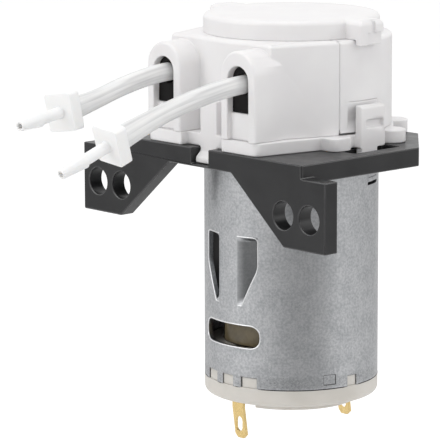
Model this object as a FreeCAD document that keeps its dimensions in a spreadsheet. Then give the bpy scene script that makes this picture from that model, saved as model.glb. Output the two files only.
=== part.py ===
import FreeCAD, Part

import math
import os

import Sketcher

# Peristaltic dosing pump on a small brushed motor.
# The pieces are drawn about the motor axis, with z = 0 on the underside of the mounting plate,
# -Y to the hoses and +Z to the lid. Their Placement moves them to the part's own frame, whose
# origin is the middle of the outer pair of ear holes, on the front of the ears.

V = FreeCAD.Vector

SIZES = {
    # Mounting bracket
    "plate_thickness": 2.95,
    "plate_half_width": 22.65,
    "plate_margin": 0.35,
    "plate_side_back": 5.6,
    "plate_back": 16.0,
    "plate_corner": 10.2,
    "plate_nose_chamfer": 0.2,
    "ear_half_width": 27.7,
    "ear_ledge": 0.9,
    "ear_drop": 10.0,
    "ear_toe": 18.75,
    "ear_root": 7.1,
    "ear_thickness": 2.65,
    "ear_hole_edge": 3.45,
    "ear_hole_pitch": 5.6,
    "ear_hole_drop": 5.1,
    "ear_hole_radius": 2.15,
    "notch_half_width": 1.95,
    "notch_depth": 3.45,
    "notch_floor": 0.4,
    "latch_slot_inset": 0.2,
    "latch_slot_room": 2.35,
    "latch_slot_front": 5.8,
    "latch_slot_back": 4.3,
    "fit_gap": 0.05,
    "slip_gap": 0.1,
    "running_gap": 0.3,
    # Motor can
    "can_radius": 13.85,
    "can_wall": 0.9,
    "can_length": 35.33,
    "can_corner": 0.8,
    "nose_radius": 5.0,
    "nose_height": 2.0,
    "window_half_width": 6.0,
    "window_height": 3.7,
    "window_rise": 8.13,
    "tongue_top": 11.3,
    "tongue_bottom": 22.3,
    "tongue_waist": 16.3,
    "tongue_inner": 2.0,
    "tongue_outer": 5.66,
    "tongue_tip": 2.9,
    "tongue_lean": 25.0,
    "rim_cut_height": 1.7,
    "rim_cut_half_width": 5.5,
    "rim_tab_inner": 1.2,
    "rim_tab_outer": 2.7,
    "side_cut_half_width": 1.0,
    "motor_screw_pitch": 8.0,
    "motor_screw_radius": 1.2,
    "screw_head_radius": 2.1,
    "screw_head_height": 1.5,
    "screw_reach": 1.6,
    # Motor end cap and terminals
    "cap_ring_height": 2.82,
    "cap_ring_round": 0.9,
    "cap_boss_radius": 10.5,
    "cap_boss_height": 1.15,
    "cap_plug_height": 5.8,
    "cap_cavity_radius": 10.9,
    "cap_floor": 1.65,
    "cap_post_radius": 4.4,
    "terminal_y": 11.5,
    "terminal_width": 2.5,
    "terminal_thickness": 0.5,
    "terminal_drop": 8.92,
    "terminal_rise": 2.33,
    "terminal_offset": 0.7,
    "terminal_eye_radius": 0.75,
    "terminal_eye_inset": 2.25,
    "terminal_eye_length": 0.9,
    "terminal_relief": 2.4,
    "terminal_relief_inner": 9.0,
    "terminal_relief_depth": 1.5,
    # Motor inside
    "shaft_radius": 1.15,
    "bearing_radius": 3.0,
    "front_bearing_length": 3.0,
    "rear_bearing_rise": 1.83,
    "rear_bearing_length": 3.4,
    "core_radius": 9.2,
    "core_top": 8.0,
    "core_slots": 5,
    "slot_mouth": 1.6,
    "slot_lip": 1.4,
    "slot_root_radius": 3.7,
    "slot_root_half_width": 0.8,
    "slot_wide_half_width": 3.1,
    "coil_inner": 3.4,
    "coil_outer": 8.0,
    "coil_head": 3.4,
    "coil_gap": 0.45,
    "magnet_inner": 9.9,
    "magnet_top": 7.0,
    "magnet_gap": 3.53,
    "magnet_angle": 118.0,
    "commutator_radius": 2.6,
    "commutator_rise": 7.43,
    "commutator_length": 5.1,
    "commutator_slit": 0.3,
    "brush_width": 2.0,
    "brush_depth": 1.7,
    "brush_height": 3.0,
    "arm_thickness": 0.3,
    "arm_overlap": 0.1,
    # Head base
    "base_height": 2.05,
    "base_overhang": 0.3,
    "base_nose_reach": 3.45,
    "base_front_half_width": 12.4,
    "base_front_corner": 1.2,
    "base_centre_recess": 1.5,
    "base_centre_half_width": 4.6,
    "cup_height": 3.2,
    "cup_roof": 1.7,
    "cup_wall": 1.1,
    "cup_bore": 3.2,
    "screw_pocket_radius": 2.4,
    "screw_pocket_depth": 1.7,
    "hook_half_width": 1.85,
    "hook_thickness": 1.3,
    "hook_top": 10.2,
    "hook_toe": 1.0,
    "hook_toe_height": 0.9,
    "base_flank_angle": 77.0,
    "base_waist_front": 13.5,
    "side_lug_overhang": 1.55,
    "side_lug_front": 7.6,
    "side_lug_back": 3.3,
    "side_lug_corner": 1.2,
    "rear_lug_overhang": 3.25,
    "rear_lug_half_width": 2.4,
    "tower_gap": 0.25,
    "tower_thickness": 1.35,
    "tower_root_depth": 1.6,
    "tower_front": 1.85,
    "tower_back": 3.35,
    "tower_top": 9.55,
    "tower_edge": 0.3,
    "tower_groove_low": 6.0,
    "tower_groove_high": 7.25,
    "tower_groove_depth": 0.6,
    "tower_groove_front": 0.75,
    "tower_groove_back": 3.0,
    "tongue_depth": 2.5,
    "tongue_front": 1.6,
    "tongue_back": 1.8,
    # Pump housings
    "housing_radius": 15.85,
    "housing_top": 19.6,
    "housing_edge": 0.6,
    "seam_front": 4.35,
    "flank_angle": 70.3,
    "shoulder_inset": 0.65,
    "race_radius": 10.25,
    "port_spacing": 8.5,
    "port_half_width": 3.85,
    "port_overhang": 0.2,
    "port_arch_height": 14.95,
    "port_edge": 0.45,
    "slot_half_width": 2.3,
    "slot_floor": 9.2,
    "slot_arch_height": 14.2,
    "panel_recess": 0.9,
    "tower_pocket_margin": 0.5,
    "tower_pocket_depth": 0.95,
    "tower_pocket_ramp": 1.6,
    "foot_slot_depth": 3.25,
    "foot_slot_height": 0.75,
    "foot_slot_back": 1.0,
    # Lid
    "lid_margin": 1.95,
    "lid_height": 3.1,
    "lid_roof": 1.3,
    "lid_edge": 0.9,
    "lid_lug_inset": 0.1,
    "lid_lug_front": 1.7,
    "lid_lug_back": 3.1,
    "lid_lug_step": 0.45,
    "lid_lug_step_height": 1.1,
    "lid_lug_step_front": 0.4,
    "lid_lug_groove_front": 0.6,
    "lid_lug_groove_width": 0.7,
    "lid_skirt": 0.8,
    "lid_spigot_height": 0.7,
    "lid_spigot_wall": 1.0,
    "lid_boss_radius": 2.4,
    # Drive
    "sleeve_radius": 2.3,
    "sleeve_bottom": 9.4,
    "sleeve_length": 7.6,
    "roller_radius": 3.0,
    "roller_height": 6.6,
    "roller_bottom": 10.4,
    "roller_edge": 0.35,
    "pin_radius": 0.8,
    "carrier_radius": 8.2,
    "carrier_lower_height": 1.5,
    "carrier_upper_height": 1.1,
    "carrier_bore": 2.7,
    "post_radius": 0.95,
    "post_orbit": 6.9,
    "pivot_radius": 1.2,
    "pivot_height": 2.2,
    # Tube
    "tube_radius": 1.45,
    "tube_height": 13.8,
    "tube_flat_thickness": 1.7,
    "tube_flat_height": 4.9,
    "tube_leg": 2.6,
    "tube_end": 5.6,
    "clamp_front": 11.8,
    "clamp_length": 2.2,
    # Hose fittings
    "finger_plate_width": 5.25,
    "finger_plate_height": 5.9,
    "finger_plate_thickness": 2.15,
    "finger_plate_corner": 0.5,
    "neck_radius": 0.9,
    "neck_length": 4.6,
    "barb_radius": 1.17,
    "barb_length": 4.7,
    "tip_radius": 0.75,
    "fitting_bore": 0.45,
}

# The free hoses' routes, from the pump tube's ends to the fittings, chosen by hand (mm).
OUTLET_ROUTE = [
    (8.5, -5.6, 13.8),
    (8.5, -12.8, 13.8),
    (8.5, -20.3, 13.6),
    (8.6, -28.3, 12.42),
    (8.55, -36.5, 10.35),
    (8.5, -43.5, 7.8),
]
INLET_ROUTE = [
    (-8.5, -5.6, 13.8),
    (-8.5, -11.8, 13.8),
    (-8.6, -19.3, 14.15),
    (-8.8, -27.2, 12.72),
    (-8.85, -34.0, 10.68),
    (-7.9, -39.15, 10.15),
]
OUTLET_PLATE_TURN = -6.7
INLET_PLATE_TURN = 8.0
ROLLER_COUNT = 3


class Size:
    """A length in mm: its number, and the sheet formula that gives it."""

    def __init__(self, number, formula):
        self.number = number
        self.formula = formula

    def __neg__(self):
        return Size(-self.number, f"(-{self.formula})")

    def __add__(self, other):
        return Size(self.number + number(other), f"({self.formula} + {formula(other)})")

    def __radd__(self, other):
        return Size(number(other) + self.number, f"({formula(other)} + {self.formula})")

    def __sub__(self, other):
        return Size(self.number - number(other), f"({self.formula} - {formula(other)})")

    def __rsub__(self, other):
        return Size(number(other) - self.number, f"({formula(other)} - {self.formula})")

    def __mul__(self, other):
        return Size(self.number * number(other), f"({self.formula} * {formula(other)})")

    def __rmul__(self, other):
        return Size(number(other) * self.number, f"({formula(other)} * {self.formula})")

    def __truediv__(self, other):
        return Size(self.number / number(other), f"({self.formula} / {formula(other)})")

    def sine(self):
        return Size(math.sin(math.radians(self.number)), f"sin({self.formula})")

    def cosine(self):
        return Size(math.cos(math.radians(self.number)), f"cos({self.formula})")


def number(size):
    """The plain number of a size or of a number."""
    return size.number if isinstance(size, Size) else float(size)


def formula(size):
    """The sheet formula of a size, or the text of a number."""
    return size.formula if isinstance(size, Size) else repr(float(size))


doc = FreeCAD.newDocument("dosing_pump")
sheet = doc.addObject("Spreadsheet::Sheet", "Sizes")
for row, (alias, value) in enumerate(SIZES.items(), start=1):
    sheet.set(f"A{row}", alias)
    sheet.set(f"B{row}", str(value))
    sheet.setAlias(f"B{row}", alias)
doc.recompute()


class SheetSizes:
    """Each driving size of the sheet, read by its name."""

    def __getattr__(self, alias):
        if alias not in SIZES:
            raise AttributeError(alias)
        return Size(float(SIZES[alias]), f"Sizes.{alias}")


s = SheetSizes()
nodes = []


def bind(obj, path, size):
    """Ties one property of an object to the sheet."""
    obj.setExpression(path, formula(size))


def base_front():
    """Reach of the head's base, in front of the axis."""
    return s.housing_radius + s.base_nose_reach


def plate_front():
    """Reach of the mounting plate, in front of the axis."""
    return base_front() + s.plate_margin


def port_front():
    """Reach of the hose ports, in front of the axis."""
    return base_front() + s.port_overhang


def to_part_frame(obj, x=0.0, y=0.0, z=0.0):
    """Moves a piece from the motor axis to the part's own origin."""
    bind(obj, "Placement.Base.x", x)
    bind(obj, "Placement.Base.y", y + plate_front())
    bind(obj, "Placement.Base.z", z + s.ear_hole_drop)


def finish(obj, label, x=0.0, y=0.0, z=0.0):
    """Labels a sub-part, places it and lists it for writing."""
    obj.Label = label
    to_part_frame(obj, x, y, z)
    nodes.append(obj)
    return obj


def new_body(name):
    return doc.addObject("PartDesign::Body", name)


def origin_plane(body, role):
    return next(f for f in body.Origin.OriginFeatures if f.Role == role)


def new_sketch(body, role, offset=0.0):
    """A sketch on an origin plane of the body, moved along the plane's normal."""
    sketch = body.newObject("Sketcher::SketchObject", f"{body.Name}_sketch")
    sketch.AttachmentSupport = [(origin_plane(body, role), "")]
    sketch.MapMode = "FlatFace"
    bind(sketch, "AttachmentOffset.Base.z", offset)
    return sketch


def pin_point(sketch, geometry, position, x, y):
    """Fixes one point of a sketch by its two distances from the sketch's origin."""
    for axis, kind, size in ((-2, "DistanceX", x), (-1, "DistanceY", y)):
        if number(size) == 0.0 and not isinstance(size, Size):
            sketch.addConstraint(Sketcher.Constraint("PointOnObject", geometry, position, axis))
        else:
            index = sketch.addConstraint(
                Sketcher.Constraint(kind, -1, 1, geometry, position, number(size))
            )
            sketch.setExpression(f"Constraints[{index}]", formula(size))


def outline(sketch, points):
    """A closed outline of straight edges through the points."""
    first = sketch.GeometryCount
    count = len(points)
    corners = [V(number(x), number(y), 0) for x, y in points]
    for i in range(count):
        sketch.addGeometry(Part.LineSegment(corners[i], corners[(i + 1) % count]))
    for i in range(count):
        sketch.addConstraint(
            Sketcher.Constraint("Coincident", first + i, 2, first + (i + 1) % count, 1)
        )
    for i, (x, y) in enumerate(points):
        pin_point(sketch, first + i, 1, x, y)


def rectangle(sketch, x0, y0, x1, y1):
    outline(sketch, [(x0, y0), (x1, y0), (x1, y1), (x0, y1)])


def circle(sketch, radius, x=0.0, y=0.0):
    index = sketch.addGeometry(
        Part.Circle(V(number(x), number(y), 0), V(0, 0, 1), number(radius))
    )
    pin_point(sketch, index, 3, x, y)
    datum = sketch.addConstraint(Sketcher.Constraint("Radius", index, number(radius)))
    sketch.setExpression(f"Constraints[{datum}]", formula(radius))


def pad(body, sketch, length, reverse=False):
    feature = body.newObject("PartDesign::Pad", f"{body.Name}_pad")
    feature.Profile = (sketch, [""])
    feature.Reversed = reverse
    bind(feature, "Length", length)
    return feature


def pocket(body, sketch, length, reverse=False):
    """Cuts a sketch into the body against the sketch's normal, and tests that it cuts."""
    doc.recompute()
    before = body.Shape.Volume
    feature = body.newObject("PartDesign::Pocket", f"{body.Name}_pocket")
    feature.Profile = (sketch, [""])
    feature.Reversed = reverse
    bind(feature, "Length", length)
    doc.recompute()
    if body.Shape.Volume >= before:
        raise RuntimeError(f"{feature.Name} cuts nothing")
    return feature


def revolve(body, sketch, angle=360.0):
    feature = body.newObject("PartDesign::Revolution", f"{body.Name}_revolution")
    feature.Profile = (sketch, [""])
    feature.ReferenceAxis = (sketch, ["V_Axis"])
    feature.Angle = angle
    return feature


def polar(body, feature, sketch, count):
    pattern = body.newObject("PartDesign::PolarPattern", f"{body.Name}_pattern")
    pattern.Originals = [feature]
    pattern.Axis = (sketch, ["N_Axis"])
    pattern.Angle = 360.0
    pattern.Occurrences = int(number(count))
    body.Tip = pattern
    return pattern


def round_edges(body, radius, wanted):
    """Rounds the edges of the body's last feature that the test picks."""
    doc.recompute()
    base = body.Tip
    names = [f"Edge{i}" for i, edge in enumerate(base.Shape.Edges, start=1) if wanted(edge)]
    feature = body.newObject("PartDesign::Fillet", f"{body.Name}_fillet")
    feature.Base = (base, names)
    bind(feature, "Radius", radius)
    return feature


def at_height(edge, z):
    """True for an edge that lies all at one height."""
    box = edge.BoundBox
    return abs(box.ZMin - number(z)) < 1e-4 and abs(box.ZMax - number(z)) < 1e-4


def is_upright(edge):
    box = edge.BoundBox
    return box.XLength < 1e-4 and box.YLength < 1e-4 and box.ZLength > 1e-3


def drilled_bar(name, radius, length, bore, bottom):
    """A plain sleeve about the z axis, of turned stock."""
    body = new_body(name)
    sketch = new_sketch(body, "XY_Plane", bottom)
    circle(sketch, radius)
    circle(sketch, bore)
    pad(body, sketch, length)
    return body


def tower_inner():
    """Inner face of the latch towers, beside the head."""
    return s.housing_radius + s.tower_gap


def tower_outer():
    """Outer face of the latch towers."""
    return tower_inner() + s.tower_thickness


def side_lug_reach():
    """Reach of the base's side lugs."""
    return s.housing_radius + s.side_lug_overhang


def lid_lug_reach():
    """Reach of the lid's lugs, just inside the towers' outer faces."""
    return tower_outer() - s.lid_lug_inset


def rear_bearing_top():
    """Upper face of the rear bearing, inside the end cap's post."""
    return s.rear_bearing_rise - s.can_length


def commutator_top():
    """Upper end of the commutator."""
    return s.commutator_rise - s.can_length


def brush_middle():
    """Height of the brushes: halfway down the commutator."""
    return commutator_top() - s.commutator_length / 2


def core_length():
    """Length of the armature's stack, that leaves its coil heads clear of the commutator."""
    return -commutator_top() - s.coil_gap - s.coil_head - s.fit_gap - s.core_top


def magnet_length():
    """Length of the magnets, between the can's shoulder and the end cap's plug."""
    return s.can_length - s.cap_plug_height - s.magnet_top - s.magnet_gap


def terminal_root():
    """Upper end of the terminals, inside the end cap."""
    return s.terminal_rise - s.can_length


def make_bracket():
    """Nylon bracket: a plate under the head and two drooping ears with screw holes."""
    body = new_body("mounting_bracket")
    plate = new_sketch(body, "XY_Plane")
    w, f, c = s.plate_half_width, plate_front(), s.plate_nose_chamfer
    back_half = w - s.plate_corner
    outline(plate, [
        (-w + c, -f), (w - c, -f), (w, c - f), (w, s.plate_side_back), (back_half, s.plate_back),
        (-back_half, s.plate_back), (-w, s.plate_side_back), (-w, c - f),
    ])
    pad(body, plate, s.plate_thickness)
    ears = new_sketch(body, "XZ_Plane", f - s.ear_thickness)
    for side in (1, -1):
        outline(ears, [
            (side * s.ear_root, 0.0), (side * s.ear_toe, -s.ear_drop),
            (side * s.ear_half_width, -s.ear_drop), (side * s.ear_half_width, s.ear_ledge),
            (side * s.ear_root, s.ear_ledge),
        ])
    pad(body, ears, s.ear_thickness)
    holes = new_sketch(body, "XZ_Plane", f)
    outer_hole = s.ear_half_width - s.ear_hole_edge
    for side in (1, -1):
        for reach in (outer_hole - s.ear_hole_pitch, outer_hole):
            circle(holes, s.ear_hole_radius, side * reach, -s.ear_hole_drop)
    pocket(body, holes, s.ear_thickness + s.running_gap)
    notch = new_sketch(body, "XY_Plane", s.plate_thickness)
    n = s.notch_half_width
    rectangle(notch, -n, -f - s.slip_gap, n, s.notch_depth - f)
    pocket(body, notch, s.plate_thickness - s.notch_floor)
    bores = new_sketch(body, "XY_Plane", s.plate_thickness)
    circle(bores, s.nose_radius + s.slip_gap)
    for side in (1, -1):
        circle(bores, s.motor_screw_radius + s.slip_gap, side * s.motor_screw_pitch)
        rectangle(bores, side * (tower_inner() - s.latch_slot_inset), -s.latch_slot_front,
                  side * (tower_outer() + s.latch_slot_room), s.latch_slot_back)
    pocket(body, bores, s.plate_thickness)
    return finish(body, "mounting_bracket")


def make_can():
    """Deep-drawn steel can with its bearing nose, brush window, lanced tongues and crimped rim."""
    body = new_body("motor_can")
    inner = s.can_radius - s.can_wall
    profile = new_sketch(body, "XZ_Plane")
    outline(profile, [
        (s.bearing_radius, s.nose_height), (s.nose_radius, s.nose_height), (s.nose_radius, 0.0),
        (s.can_radius, 0.0), (s.can_radius, -s.can_length), (inner, -s.can_length),
        (inner, -s.can_wall), (s.bearing_radius, -s.can_wall),
    ])
    revolve(body, profile)
    round_edges(body, s.can_corner, lambda e: at_height(e, 0) and is_can_rim(e))
    doc.recompute()
    front = new_sketch(body, "XZ_Plane", s.can_radius + s.slip_gap)
    half_straight = s.window_half_width - s.window_height / 2
    window = s.window_rise - s.can_length
    low, high = window - s.window_height / 2, window + s.window_height / 2
    rectangle(front, -half_straight, low, half_straight, high)
    pocket(body, front, s.can_radius * 2 + s.slip_gap * 2)
    ends = new_sketch(body, "XZ_Plane", s.can_radius + s.slip_gap)
    for side in (1, -1):
        circle(ends, s.window_height / 2, side * half_straight, window)
    pocket(body, ends, s.can_radius * 2 + s.slip_gap * 2)
    slots = new_sketch(body, "XZ_Plane", s.can_radius + s.slip_gap)
    for side in (1, -1):
        outline(slots, [
            (side * s.tongue_inner, -s.tongue_top), (side * s.tongue_outer, -s.tongue_top),
            (side * s.tongue_outer, -s.tongue_waist), (side * s.tongue_tip, -s.tongue_bottom),
            (side * s.tongue_inner, -s.tongue_bottom),
        ])
    pocket(body, slots, s.can_radius * 2 + s.slip_gap * 2)
    rim = new_sketch(body, "XZ_Plane", s.can_radius + s.slip_gap)
    top, bottom = s.rim_cut_height - s.can_length, -s.can_length - s.slip_gap
    rectangle(rim, -s.rim_tab_inner, bottom, s.rim_tab_inner, top)
    for side in (1, -1):
        rectangle(rim, side * s.rim_tab_outer, bottom, side * s.rim_cut_half_width, top)
    pocket(body, rim, s.can_radius * 2 + s.slip_gap * 2)
    side_rim = new_sketch(body, "YZ_Plane", s.can_radius + s.slip_gap)
    rectangle(side_rim, -s.side_cut_half_width, bottom, s.side_cut_half_width, top)
    pocket(body, side_rim, s.can_radius * 2 + s.slip_gap * 2)
    screw_holes = new_sketch(body, "XY_Plane")
    for side in (1, -1):
        circle(screw_holes, s.motor_screw_radius, side * s.motor_screw_pitch)
    pocket(body, screw_holes, s.can_wall)
    for front_side in (1, -1):
        for side in (1, -1):
            add_tongue(body, side, front_side)
    return finish(body, "motor_can")


def is_can_rim(edge):
    """True for an edge as wide as the can."""
    return abs(edge.BoundBox.XMax - number(s.can_radius)) < 1e-3


def add_tongue(body, side, front_side):
    """One lanced tongue of the can, folded inwards about its inner edge."""
    reach = s.tongue_outer - s.tongue_inner
    tip = s.tongue_tip - s.tongue_inner
    sketch = new_sketch(body, "XZ_Plane")
    outline(sketch, [
        (-side * s.slip_gap, -s.tongue_top - s.slip_gap), (side * reach, -s.tongue_top - s.slip_gap),
        (side * reach, -s.tongue_waist), (side * tip, s.slip_gap * 2 - s.tongue_bottom),
        (-side * s.slip_gap, s.slip_gap * 2 - s.tongue_bottom),
    ])
    bore = number(s.can_radius - s.can_wall)
    hinge_x = number(s.tongue_inner)
    hinge_y = math.sqrt(bore ** 2 - hinge_x ** 2)
    lean = number(s.tongue_lean) + math.degrees(math.asin(hinge_x / bore))
    turn = FreeCAD.Rotation(V(0, 1, 0), side * front_side * lean)
    sketch.setExpression("AttachmentOffset.Base.z", None)
    sketch.AttachmentOffset = FreeCAD.Placement(V(side * hinge_x, 0, front_side * hinge_y), turn)
    pad(body, sketch, s.can_wall, reverse=front_side < 0)


def make_end_cap():
    """Moulded end cap: plug inside the can, flush ring, rear boss, bearing post and slots."""
    body = new_body("motor_end_cap")
    ring_top = -s.can_length
    ring_bottom = ring_top - s.cap_ring_height
    boss_bottom = ring_bottom - s.cap_boss_height
    floor = ring_bottom + s.cap_floor
    plug_top = ring_top + s.cap_plug_height
    plug_radius = s.can_radius - s.can_wall - s.fit_gap
    bearing_top = rear_bearing_top()
    bearing_bottom = bearing_top - s.rear_bearing_length
    profile = new_sketch(body, "XZ_Plane")
    outline(profile, [
        (0.0, bearing_bottom), (s.bearing_radius, bearing_bottom), (s.bearing_radius, bearing_top),
        (s.cap_post_radius, bearing_top), (s.cap_post_radius, floor), (s.cap_cavity_radius, floor),
        (s.cap_cavity_radius, plug_top), (plug_radius, plug_top), (plug_radius, ring_top),
        (s.can_radius, ring_top), (s.can_radius, ring_bottom), (s.cap_boss_radius, ring_bottom),
        (s.cap_boss_radius, boss_bottom), (0.0, boss_bottom),
    ])
    revolve(body, profile)
    round_edges(body, s.cap_ring_round, lambda e: at_height(e, ring_bottom) and is_can_rim(e))
    doc.recompute()
    slots = new_sketch(body, "XY_Plane", plug_top)
    half = s.terminal_width / 2 + s.fit_gap
    thick = s.terminal_thickness / 2 + s.fit_gap
    for side in (1, -1):
        rectangle(slots, -half, side * (s.terminal_y - thick), half, side * (s.terminal_y + thick))
    pocket(body, slots, plug_top - boss_bottom + s.slip_gap)
    relief = new_sketch(body, "XY_Plane", plug_top)
    inner = s.cap_cavity_radius - s.terminal_relief_depth
    for side in (1, -1):
        rectangle(relief, -half, side * inner, half, side * s.terminal_y)
    pocket(body, relief, plug_top - floor)
    corners = new_sketch(body, "XY_Plane", ring_bottom)
    for side in (1, -1):
        rectangle(corners, -s.terminal_relief, side * s.terminal_relief_inner,
                  s.terminal_relief, side * (s.cap_boss_radius + s.slip_gap))
    pocket(body, corners, s.cap_boss_height)
    return finish(body, "motor_end_cap")


def make_bearings():
    bore = s.shaft_radius + s.fit_gap
    front_bottom = s.nose_height - s.front_bearing_length
    front = drilled_bar("front_bearing", s.bearing_radius, s.front_bearing_length, bore, front_bottom)
    finish(front, "front_bearing")
    rear_bottom = rear_bearing_top() - s.rear_bearing_length
    rear = drilled_bar("rear_bearing", s.bearing_radius, s.rear_bearing_length, bore, rear_bottom)
    finish(rear, "rear_bearing")


def make_magnet(label, turn):
    """One arc magnet, held against the can's wall."""
    cut = doc.addObject("Part::Cut", label)
    outer = doc.addObject("Part::Cylinder", f"{label}_outer")
    bind(outer, "Radius", s.can_radius - s.can_wall - s.fit_gap)
    bind(outer, "Height", magnet_length())
    bind(outer, "Angle", s.magnet_angle)
    inner = doc.addObject("Part::Cylinder", f"{label}_inner")
    bind(inner, "Radius", s.magnet_inner)
    bind(inner, "Height", magnet_length())
    cut.Base = outer
    cut.Tool = inner
    start = turn - number(s.magnet_angle) / 2
    cut.Placement = FreeCAD.Placement(V(), FreeCAD.Rotation(V(0, 0, 1), start))
    finish(cut, label, z=-s.magnet_top - magnet_length())


def make_terminal(label, side):
    """Brass solder tab, through the end cap, with an oblong eye at its tip."""
    body = new_body(label)
    face = new_sketch(body, "XZ_Plane", -side * s.terminal_y - s.terminal_thickness / 2)
    half = s.terminal_width / 2
    corner = s.terminal_width / 4
    lean = s.terminal_offset
    bend = -s.can_length - s.cap_ring_height - s.cap_boss_height
    tip = -s.can_length - s.terminal_drop
    outline(face, [
        (-half, terminal_root()), (-half, bend), (lean - half, tip + corner),
        (lean - half + corner, tip), (lean + half - corner, tip),
        (lean + half, tip + corner), (half, bend), (half, terminal_root()),
    ])
    pad(body, face, s.terminal_thickness)
    eye = new_sketch(body, "XZ_Plane", -side * s.terminal_y + s.terminal_thickness / 2)
    r, centre, straight = s.terminal_eye_radius, tip + s.terminal_eye_inset, s.terminal_eye_length / 2
    middle = lean * 0.5
    rectangle(eye, middle - r, centre - straight, middle + r, centre + straight)
    pocket(body, eye, s.terminal_thickness)
    ends = new_sketch(body, "XZ_Plane", -side * s.terminal_y + s.terminal_thickness / 2)
    circle(ends, r, middle, centre + straight)
    pocket(body, ends, s.terminal_thickness)
    low_end = new_sketch(body, "XZ_Plane", -side * s.terminal_y + s.terminal_thickness / 2)
    circle(low_end, r, middle, centre - straight)
    pocket(body, low_end, s.terminal_thickness)
    return finish(body, label)


def make_brush_gear(end, side):
    """A carbon brush and the spring strip that joins it to its terminal."""
    brush_face = s.commutator_radius + s.fit_gap
    brush_back = brush_face + s.brush_depth
    brush = doc.addObject("Part::Box", f"brush_{end}")
    bind(brush, "Length", s.brush_width)
    bind(brush, "Width", s.brush_depth)
    bind(brush, "Height", s.brush_height)
    near = brush_face if side > 0 else -brush_back
    finish(brush, f"brush_{end}", -s.brush_width / 2, near, brush_middle() - s.brush_height / 2)
    body = new_body(f"brush_arm_{end}")
    strip = new_sketch(body, "YZ_Plane", -s.terminal_width / 2)
    tail_top = terminal_root() - s.arm_overlap
    tail_bottom = tail_top - s.arm_thickness
    top = brush_middle() + s.brush_height / 2
    back = brush_back + s.arm_thickness
    reach = s.terminal_y - s.terminal_thickness / 2
    outline(strip, [
        (side * brush_back, top), (side * back, top), (side * back, tail_top),
        (side * reach, tail_top), (side * reach, tail_bottom), (side * brush_back, tail_bottom),
    ])
    pad(body, strip, s.terminal_width)
    finish(body, f"brush_arm_{end}")


def make_motor_screws():
    """The two pan-head screws that hold the motor under the plate."""
    group = doc.addObject("Part::MultiFuse", "motor_screws")
    parts = []
    for side in (1, -1):
        x = side * s.motor_screw_pitch
        head = doc.addObject("Part::Cylinder", "screw_head")
        bind(head, "Radius", s.screw_head_radius)
        bind(head, "Height", s.screw_head_height)
        bind(head, "Placement.Base.z", s.plate_thickness)
        shank = doc.addObject("Part::Cylinder", "screw_shank")
        bind(shank, "Radius", s.motor_screw_radius)
        bind(shank, "Height", s.plate_thickness + s.screw_reach)
        bind(shank, "Placement.Base.z", -s.screw_reach)
        for piece in (head, shank):
            bind(piece, "Placement.Base.x", x)
            parts.append(piece)
    group.Shapes = parts
    return finish(group, "motor_screws")


def make_shaft():
    body = new_body("motor_shaft")
    bottom = rear_bearing_top() - s.rear_bearing_length + s.slip_gap
    sketch = new_sketch(body, "XY_Plane", bottom)
    circle(sketch, s.shaft_radius)
    pad(body, sketch, s.sleeve_bottom + s.sleeve_length - bottom)
    return finish(body, "motor_shaft")


def make_core():
    """Laminated armature: a round stack with winding slots all round."""
    body = new_body("rotor_core")
    disc = new_sketch(body, "XY_Plane", -s.core_top)
    circle(disc, s.core_radius)
    circle(disc, s.shaft_radius)
    pad(body, disc, core_length(), reverse=True)
    slot = new_sketch(body, "XY_Plane", -s.core_top)
    mouth = s.slot_mouth / 2
    wide = s.core_radius - s.slot_lip
    outline(slot, [
        (-s.slot_root_half_width, s.slot_root_radius), (s.slot_root_half_width, s.slot_root_radius),
        (s.slot_wide_half_width, wide - s.slot_lip), (mouth, wide),
        (mouth, s.core_radius + s.slip_gap), (-mouth, s.core_radius + s.slip_gap),
        (-mouth, wide), (-s.slot_wide_half_width, wide - s.slot_lip),
    ])
    first = pocket(body, slot, core_length())
    polar(body, first, slot, s.core_slots)
    return finish(body, "rotor_core")


def make_windings():
    """Enamelled copper: a ring of coil heads at each end of the core, joined through its slots."""
    body = new_body("windings")
    inner, outer = s.coil_inner, s.coil_outer
    top = s.fit_gap - s.core_top
    bottom = -s.core_top - core_length() - s.fit_gap
    shrink = s.coil_head / 4
    rings = new_sketch(body, "XZ_Plane")
    outline(rings, [
        (inner, top), (outer, top), (outer, top + s.coil_head - shrink),
        (outer - shrink, top + s.coil_head), (inner + shrink, top + s.coil_head),
        (inner, top + s.coil_head - shrink),
    ])
    outline(rings, [
        (inner, bottom), (outer, bottom), (outer, bottom - s.coil_head + shrink),
        (outer - shrink, bottom - s.coil_head), (inner + shrink, bottom - s.coil_head),
        (inner, bottom - s.coil_head + shrink),
    ])
    revolve(body, rings)
    fill = new_sketch(body, "XY_Plane", bottom)
    wide = s.core_radius - s.slot_lip * 2
    root = s.slot_root_radius + s.slip_gap * 2
    outline(fill, [
        (-s.slot_root_half_width / 2, root), (s.slot_root_half_width / 2, root),
        (s.slot_wide_half_width - s.running_gap, wide - s.slip_gap),
        (-s.slot_wide_half_width + s.running_gap, wide - s.slip_gap),
    ])
    first = pad(body, fill, top - bottom)
    doc.recompute()
    polar(body, first, fill, s.core_slots)
    return finish(body, "windings")


def make_commutator():
    body = new_body("commutator")
    bottom = commutator_top() - s.commutator_length
    sketch = new_sketch(body, "XY_Plane", bottom)
    circle(sketch, s.commutator_radius)
    circle(sketch, s.shaft_radius)
    pad(body, sketch, s.commutator_length)
    slit = new_sketch(body, "XY_Plane", commutator_top())
    half = s.commutator_slit / 2
    rectangle(slit, s.commutator_radius - s.commutator_slit, -half, s.commutator_radius + half, half)
    first = pocket(body, slit, s.commutator_length)
    polar(body, first, slit, s.core_slots)
    return finish(body, "commutator")


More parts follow.
